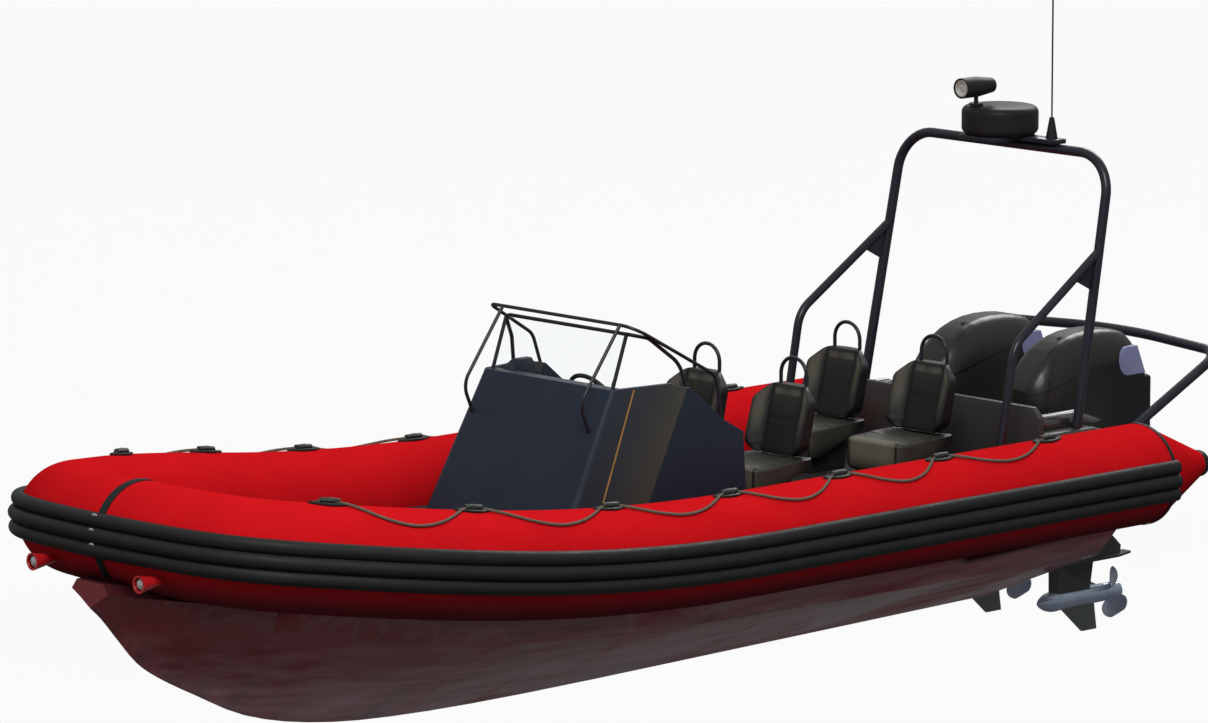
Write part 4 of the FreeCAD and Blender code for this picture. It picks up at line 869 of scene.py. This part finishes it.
def lamp_bezels():
    """A bright reflector behind each bow lens and a rounded rim round it."""
    for name, side in SIDES:
        bpy.ops.mesh.primitive_torus_add(
            major_radius=0.039, minor_radius=0.0035, major_segments=48, minor_segments=10,
            location=(LAMP_RIM, side * LAMP_SIDE, LAMP_HEIGHT), rotation=(0, math.pi / 2, 0))
        settle(started((1, 1, 0.7)), "lamp_rim_" + name, LAMP_RED)
        bpy.ops.mesh.primitive_uv_sphere_add(
            segments=32, ring_count=12, radius=0.030,
            location=(LAMP_MOUTH, side * LAMP_SIDE, LAMP_HEIGHT))
        bowl = started((0.6, 1, 1))
        edit_all(bowl, "VERT")
        bpy.ops.mesh.bisect(plane_co=(LAMP_MOUTH, 0, 0), plane_no=(1, 0, 0), clear_inner=True,
                            use_fill=True)
        leave_edit()
        settle(bowl, "lamp_glass_" + name, REFLECTOR)


lamp_bezels()

# ---- seats ----


def soft_block(radius, cuts):
    """A cube of half size 1 and many faces, its edges rounded to a radius."""
    bpy.ops.mesh.primitive_cube_add(size=2)
    block = bpy.context.object
    edit_all(block)
    bpy.ops.mesh.subdivide(number_cuts=cuts)
    leave_edit()
    for spot in block.data.vertices:
        core = Vector([max(radius - 1, min(1 - radius, a)) for a in spot.co])
        edge = spot.co - core
        if edge.length > 0:
            spot.co = core + edge.normalized() * radius
    return block


def seam(offset, width):
    """How deep a sewn seam pulls the cover in, from 1 on the seam to 0 beside it."""
    return math.exp(-(offset / width) ** 2)


def between(table, t):
    """The value of a table of (place, value) rows at t."""
    for (low, first), (high, second) in zip(table, table[1:]):
        if t <= high:
            return first + (second - first) * (t - low) / (high - low)
    return table[-1][1]


CUSHION_HALF, CUSHION_TOP = 0.225, 0.645
CUSHION_MIDDLE, CUSHION_REACH = 0.160, 0.240
BLOCK_REAR, SIDE_SEAM = 0.215, 0.155


def cushion_shape():
    """A thick seat, deep in front and shallow behind, with a bulging front block."""
    pad = soft_block(0.26, 30)
    for spot in pad.data.vertices:
        a, b, c = spot.co
        x = CUSHION_MIDDLE + CUSHION_REACH * a
        y = CUSHION_HALF * b
        low = 0.600 - 0.160 * min(1, max(0, (x + 0.08) / 0.42))
        high = CUSHION_TOP - 0.004
        block = max(0.0, 1 - (abs(y) / 0.185) ** 8)
        ahead = min(1, max(0, (x - BLOCK_REAR) / 0.05))
        dished = max(0.0, 1 - (abs(y) / 0.150) ** 4) * (1 - ahead)
        top = max(0.0, c)
        sink = 0.012 * dished + 0.012 * seam(x - BLOCK_REAR, 0.010) + 0.008 * ahead * (1 - block)
        sink += 0.007 * seam(abs(y) - SIDE_SEAM, 0.009) * (1 - ahead)
        x += 0.012 * max(0.0, a) * block - 0.016 * max(0.0, a) * (1 - block)
        spot.co = (x, y, low + (high - low) * (c + 1) / 2 - sink * top)
    subdivided(pad)
    return pad


def fade(value, start, end):
    """Goes smoothly from 0 at the start to 1 at the end."""
    share = min(1.0, max(0.0, (value - start) / (end - start)))
    return share * share * (3 - 2 * share)


def set_painted_light(pad, shade):
    """Stores how pale each point of a cover is, for its leather: the cover's painted light."""
    pale = pad.data.attributes.new("pale", "FLOAT", "POINT")
    for spot, held in zip(pad.data.vertices, pale.data):
        held.value = shade(spot)


def cushion_painted_light(spot):
    """Painted light: grey on top and on the front block, black down the sides; black along the
    piping, its own colour.
    """
    x, y, z = spot.co
    middle = 1 - fade(abs(y), 0.12, 0.20)
    front = fade(x, 0.34, 0.385) * (0.45 + 0.55 * middle) * fade(z, 0.44, 0.56)
    top = fade(spot.normal.z, 0.2, 0.8) * (0.12 + 0.22 * fade(x, -0.04, 0.20))
    top *= 0.5 + 0.5 * middle
    side = fade(abs(spot.normal.y), 0.5, 0.9) * 0.24 * fade(z, 0.52 - 0.2 * x, 0.62 - 0.2 * x)
    piping = fade(0.008 - abs(abs(y) - 0.190), 0, 0.004) * fade(x, 0.2, 0.24)
    return max(front, top, side * fade(x, -0.02, 0.12)) * (1 - piping)


# outline of a back: share of its height, half width; then how far its bolsters reach
BACK_WIDTH = ((0, 0.166), (0.09, 0.205), (0.17, 0.222), (0.74, 0.225), (0.80, 0.219), (1, 0.136))
BACK_REACH = ((0, 0.020), (0.14, 0.056), (0.78, 0.048), (0.90, 0.022), (1, 0.004))
BACK_FOOT, BACK_RISE = 0.6455, 0.3840
BACK_LEAN = 0.0783
PANEL_HALF = 0.122


def back_shape():
    """A bucket back: a flat black panel between bolsters that reach forward."""
    pad = soft_block(0.15, 30)
    for spot in pad.data.vertices:
        a, b, c = spot.co
        t = (c + 1) / 2
        half = between(BACK_WIDTH, t)
        y = half * b
        rear = -0.085 - t * BACK_LEAN + 0.062 * abs(b) ** 3
        out = min(1, max(0, (abs(y) - PANEL_HALF) / max(0.02, half - 0.030 - PANEL_HALF)))
        front = 0.020 - t * (0.030 + BACK_LEAN) + between(BACK_REACH, t) * out
        sink = 0.007 * seam(abs(y) - PANEL_HALF, 0.006)
        if abs(y) < PANEL_HALF:
            sink += 0.004 * seam(abs(y) - 0.045, 0.005) + 0.005 * seam(t - 0.5, 0.015)
            sink -= 0.006 * seam(abs(y), 0.10) - 0.004 * seam(t - 0.88, 0.05)
        spot.co = (rear + (front - rear) * (a + 1) / 2 - sink * max(0.0, a), y,
                   BACK_FOOT + BACK_RISE * t)
    subdivided(pad)
    return pad


def back_painted_light(spot):
    """Grey down the middle of each bolster and across the top of the panel: partly the covers'
    own grey, partly painted highlight that fades to black at the edges.
    """
    x, y, z = spot.co
    t = (z - BACK_FOOT) / BACK_RISE
    half = between(BACK_WIDTH, t)
    ahead = fade(x, -0.030 - t * (0.030 + BACK_LEAN), 0.006 - t * (0.030 + BACK_LEAN))
    across = (abs(y) - PANEL_HALF) / max(0.02, half - PANEL_HALF)
    bolster = fade(across, 0.04, 0.38) * (1 - fade(across, 0.62, 1.02))
    bolster *= fade(t, 0.12, 0.60) * (1 - 0.7 * fade(t, 0.84, 0.98)) * 0.50
    head = fade(t, 0.83, 0.88) * (1 - fade(t, 0.92, 0.97)) * (1 - fade(abs(y), 0.085, 0.115))
    head *= 0.30 + 0.22 * fade(abs(y), 0.0, 0.06)
    quilt = 0.06 * fade(t, 0.45, 0.8) * (1 - fade(abs(y), 0.09, 0.12))
    return ahead * max(bolster, head, quilt)


SEAT_ROWS = (-1.320, -2.460)
SEAT_SIDE = 0.353


def seats():
    places = [Matrix.Translation((row, side * SEAT_SIDE, 0))
              for row in SEAT_ROWS for name, side in SIDES]
    # each cover's painted light is stored as its "pale" attribute
    for shape, painted_light, name, node in (
            (cushion_shape, cushion_painted_light, "seat_cushion_covers", "seat_cushions"),
            (back_shape, back_painted_light, "seat_back_covers", "seat_backs")):
        pad = shape()
        set_painted_light(pad, painted_light)
        covers = settle(join(copies_of(pad, places)), name, LEATHER, angle=60,
                        stands_for=[node])


seats()
smooth_copy("seat_pedestals", PEDESTAL, width=0.012, segments=4)

# ---- console ----

smooth_copy("console", CONSOLE, width=0.004, angle=30, segments=3)
smooth_copy("binnacle", NAVY, width=0.005, segments=3)


def cheek_point(x, z, side, stand):
    """A point on the console's angled cheek at a station and height."""
    share = (CONSOLE_TOP - z) / (CONSOLE_TOP - DECK_TOP)
    front, corner, fold, half = (
        top + share * (foot - top)
        for top, foot in (CONSOLE_FRONT, CONSOLE_CORNER, CONSOLE_FOLD, CONSOLE_HALF))
    y = corner + (half - corner) * (front - x) / (front - fold)
    return Vector((x, side * (y + stand), z))


STRIPE_TOP, STRIPE_FOOT, STRIPE_WIDTH = (-0.010, 1.185), (0.345, 0.420), 0.011


def cheek_stripe(name, side):
    """A thin stripe laid on a cheek."""
    bpy.ops.mesh.primitive_plane_add(size=1)
    stripe = bpy.context.object
    edit_all(stripe)
    bpy.ops.mesh.subdivide(number_cuts=1)
    leave_edit()
    for spot in stripe.data.vertices:
        share = spot.co.y + 0.5
        x, z = (top + (foot - top) * share for top, foot in zip(STRIPE_TOP, STRIPE_FOOT))
        spot.co = cheek_point(x + spot.co.x * STRIPE_WIDTH, z, side, 0.0006)
    thickened(stripe, 0.0008)
    edit_all(stripe)
    bpy.ops.mesh.normals_make_consistent(inside=False)
    leave_edit()
    settle(stripe, "gold_stripe_" + name, GOLD)


for name, side in SIDES:
    cheek_stripe(name, side)

# ---- engines ----

COWL_FRONT, COWL_LENGTH = -3.250, 0.955
COWL_BOTTOM, COWL_HEIGHT = 0.450, 0.648
COWL_HALF = 0.187
# side profile of a cowl: share of its length, share of its height
COWL_TOP = ((0, 0.530), (0.03, 0.615), (0.08, 0.710), (0.14, 0.795), (0.20, 0.862), (0.27, 0.918),
            (0.35, 0.960), (0.44, 0.987), (0.54, 0.998), (0.64, 0.996), (0.72, 0.985),
            (0.79, 0.966), (0.840, 0.940), (0.868, 0.900), (0.880, 0.820), (0.925, 0.590),
            (0.940, 0.556), (0.985, 0.552), (1, 0.545))
# half the plan width: share of the length, share of the half width
COWL_PLAN = ((0, 0.50), (0.015, 0.66), (0.04, 0.79), (0.08, 0.91), (0.12, 0.975), (0.16, 1),
             (0.985, 1), (1, 0.96))


def cowl_skin(name, side):
    """A smooth moulded cowl with a crowned top that falls to a narrow nose."""
    skin = soft_block(0.05, 60)
    for spot in skin.data.vertices:
        a, b, c = spot.co
        u = (1 - a) / 2
        half = COWL_HALF * between(COWL_PLAN, u)
        high = COWL_HEIGHT * between(COWL_TOP, u)
        edge = max(0.0, (abs(b) - 0.32) / 0.68)
        fall = min(0.25, high * 0.5) * (1 - math.sqrt(max(0.0, 1 - edge * edge)))
        fall *= 1 - 0.9 * fade(u, 0.84, 0.93)
        spot.co = (COWL_FRONT - COWL_LENGTH * u, side * ENGINE_SIDE + half * b,
                   COWL_BOTTOM + (c + 1) / 2 * (high - fall))
    settle(skin, "cowl_skin_" + name, COWL, "engine_" + name, 40,
           ["cowl_lower_" + name, "cowl_upper_" + name])


def cowl_vent(name, side):
    """A narrow dark intake on the shoulder of a cowl."""
    bpy.ops.mesh.primitive_cube_add(size=1, rotation=(0, math.radians(9), 0),
                                    location=(-3.605, side * ENGINE_SIDE + 0.030, 1.0715))
    vent = started((0.105, 0.012, 0.010))
    stepped(vent, [(0.002, -0.004)])
    rounded(vent, 0.0008, 2)
    settle(vent, "cowl_vent_" + name, GRIP, "engine_" + name)


TAIL_X, TAIL_Z = -3.995, 0.9015
TAIL_ROUND, TAIL_REACH, TAIL_HALF, TAIL_RISE = 0.075, 0.150, 0.1895, 0.0855


def cowl_tail(name, side):
    """The pale panel at the rear of a cowl: round in front, square behind."""
    bpy.ops.mesh.primitive_cylinder_add(vertices=96, radius=1, depth=2,
                                        rotation=(math.pi / 2, 0, 0))
    tail = started()
    for spot in tail.data.vertices:
        ahead, across, up = spot.co
        if ahead < 0:
            square = max(abs(ahead), abs(up))
            ahead, up = ahead / square, up / square
        reach = TAIL_ROUND if ahead > 0 else TAIL_REACH - 0.0325 * (up + 1)
        half = TAIL_HALF - 0.004 * (up + 1)
        spot.co = (TAIL_X + ahead * reach, side * ENGINE_SIDE + across * half,
                   TAIL_Z + TAIL_RISE * up)
    rounded(tail, 0.004, 3, 50)
    settle(tail, "cowl_tail_skin_" + name, COWL_PALE, "engine_" + name, 40,
           ["cowl_tail_" + name])


SKEG_ROOT = -0.572

for name, side in SIDES:
    engine = "engine_" + name
    cowl_skin(name, side)
    cowl_vent(name, side)
    cowl_tail(name, side)
    case = smooth_copy("gearcase_" + name, GEARCASE, engine, 0.003, 50)
    case.data.materials.append(SKEG)
    for face in case.data.polygons:
        face.material_index = 1 if face.center.z < SKEG_ROOT else 0
    smooth_copy("engine_leg_" + name, ENGINE, engine, 0.004, 40)
smooth_copy("engine_clamps", ENGINE, width=0.004)


def blade():
    """One broad twisted blade, its root at the hub and its tip rounded."""
    bpy.ops.mesh.primitive_grid_add(x_subdivisions=14, y_subdivisions=14, size=2)
    leaf = bpy.context.object
    for spot in leaf.data.vertices:
        along, out = spot.co.x, (spot.co.y + 1) / 2
        reach = 0.040 + 0.110 * out
        chord = 0.084 * math.sqrt(max(0.02, 1 - ((out - 0.52) / 0.58) ** 2))
        pitch = math.radians(46 + 16 * out)
        shift = along * chord + 0.012 * out
        cup = 0.008 * along * along
        spot.co = (shift * math.cos(pitch) + cup, shift * math.sin(pitch), reach)
    thickened(leaf, 0.0075)
    subdivided(leaf)
    return leaf


PROP_X, PROP_Z = -4.052, -0.508


def propeller(name, side):
    """Three blades on a hub that is hollow behind, round a nut."""
    turns = [Matrix.Rotation(math.radians(angle), 4, "X") for angle in (-20, 100, 220)]
    parts = copies_of(blade(), turns)
    bpy.ops.mesh.primitive_cylinder_add(vertices=48, radius=0.052, depth=0.130,
                                        rotation=(0, math.pi / 2, 0))
    hub = started()
    stepped(hub, [(0.009, -0.050), (0.016, 0.042)], (-1, 0, 0))
    rounded(hub, 0.003, 3)
    wheel = join(parts + [hub])
    placed(wheel, Matrix.Translation((PROP_X, side * ENGINE_SIDE, PROP_Z)))
    settle(wheel, "propeller_wheel_" + name, GEARCASE, "propeller_" + name, 50,
           ["propeller_" + name])


for name, side in SIDES:
    propeller(name, side)

# ---- helm ----

DASH_LIP = Vector((-0.600, 0, 0.840))
DASH_UP = Vector((0.400, 0, 0.265)).normalized()
DASH_OUT = Vector((-DASH_UP.z, 0, DASH_UP.x))


PANEL_THICK = 0.008


def on_dash(piece, up_slope, side):
    """Sets a flat piece on the instrument panel, its Y axis across the boat."""
    place = DASH_LIP + DASH_UP * up_slope + DASH_OUT * PANEL_THICK + Vector((0, side, 0))
    return placed(piece, frame_of(place, DASH_UP, DASH_OUT))


def dash_box(width, height, depth, border, well, skin, face_skin):
    """A raised frame whose middle is sunk a little and has its own finish."""
    bpy.ops.mesh.primitive_cube_add(size=1, location=(0, 0, depth / 2))
    box = started((height, width, depth))
    stepped(box, [(border, -well)])
    rounded(box, min(0.004, well * 0.45), 3)
    box.data.materials.append(skin)
    box.data.materials.append(face_skin)
    reach, half = height / 2 - border, width / 2 - border
    for face in box.data.polygons:
        inside = abs(face.center.x) < reach and abs(face.center.y) < half
        face.material_index = 1 if inside and face.normal.z > 0.99 else 0
    return box


def dash_display():
    """A flat display with a raised frame, to port of the wheel."""
    box = dash_box(0.270, 0.180, 0.016, 0.014, 0.004, PANEL, SCREEN)
    settle(on_dash(box, 0.285, 0.330), "dash_display", None)


def dash_switches():
    """A row of rocker switches below the display."""
    rocker = dash_box(0.026, 0.044, 0.011, 0.003, 0.002, GRIP, PANEL)
    rockers = copies_of(rocker, [Matrix.Translation((0, 0.038 * k, 0)) for k in range(6)])
    settle(on_dash(join(rockers), 0.135, 0.235), "dash_switches", None)


def dash_dial(radius):
    """A round gauge: a raised rim, a dark face and a pale needle."""
    bpy.ops.mesh.primitive_cylinder_add(vertices=48, radius=radius, depth=0.012,
                                        location=(0, 0, 0.006))
    dial = started()
    stepped(dial, [(0.006, -0.004)])
    rounded(dial, 0.0015, 2)
    bpy.ops.mesh.primitive_cube_add(size=1, location=(radius * 0.24, 0, 0.0088))
    needle = started((radius * 0.62, 0.0028, 0.0014))
    rounded(needle, 0.0004, 2)
    dial.data.materials.append(PANEL)
    needle.data.materials.append(DIAL_WHITE)
    return join([dial, needle])


def dash_dials():
    places = ((0.046, -0.465), (0.046, -0.353), (0.046, -0.241), (0.034, -0.145))
    dials = [on_dash(dash_dial(radius), 0.360, side) for radius, side in places]
    settle(join(dials), "dash_dials", None)


dash_display()
dash_switches()
dash_dials()
smooth_copy("throttle_box", PANEL, width=0.004, segments=3)

# ---- masthead ----


RADOME_CROWN = 0.008


def crowned_radome():
    """A round radome with soft rims and a top that rises gently to its middle."""
    low, high = (Vector(corner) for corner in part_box("radome"))
    tall = high.z - low.z - RADOME_CROWN
    bpy.ops.mesh.primitive_cylinder_add(vertices=128, radius=(high.x - low.x) / 2, depth=tall)
    dome = bpy.context.object
    rounded(dome, 0.040, 8, 60)
    stepped(dome, [(0.020, 0.003), (0.050, 0.003), (0.060, 0.002)], least=0.999)
    placed(dome, Matrix.Translation((low + high - Vector((0, 0, RADOME_CROWN))) / 2))
    settle(dome, "radome_skin", RADOME, angle=40, stands_for=["radome"])


def searchlight_face():
    """A bright reflector with a stepped bowl, set in the mouth of the searchlight."""
    low, high = (Vector(corner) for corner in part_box("searchlight_lens"))
    radius = (high.z - low.z) / 2 - 0.0005
    bpy.ops.mesh.primitive_cylinder_add(vertices=48, radius=radius, depth=high.x - low.x)
    glass = bpy.context.object
    stepped(glass, [(0.006, 0.004), (0.008, -0.006), (0.016, -0.005), (0.012, 0.003)])
    rounded(glass, 0.0012, 2)
    placed(glass, Matrix.Translation((low + high) / 2) @ Matrix.Rotation(math.pi / 2, 4, "Y"))
    settle(glass, "searchlight_glass", REFLECTOR,
           stands_for=["searchlight_lens"])


crowned_radome()
searchlight_face()
smooth_copy("searchlight_body", RADOME, width=0.006, segments=4)
smooth_copy("masthead_plate", PIPE, width=0.003)
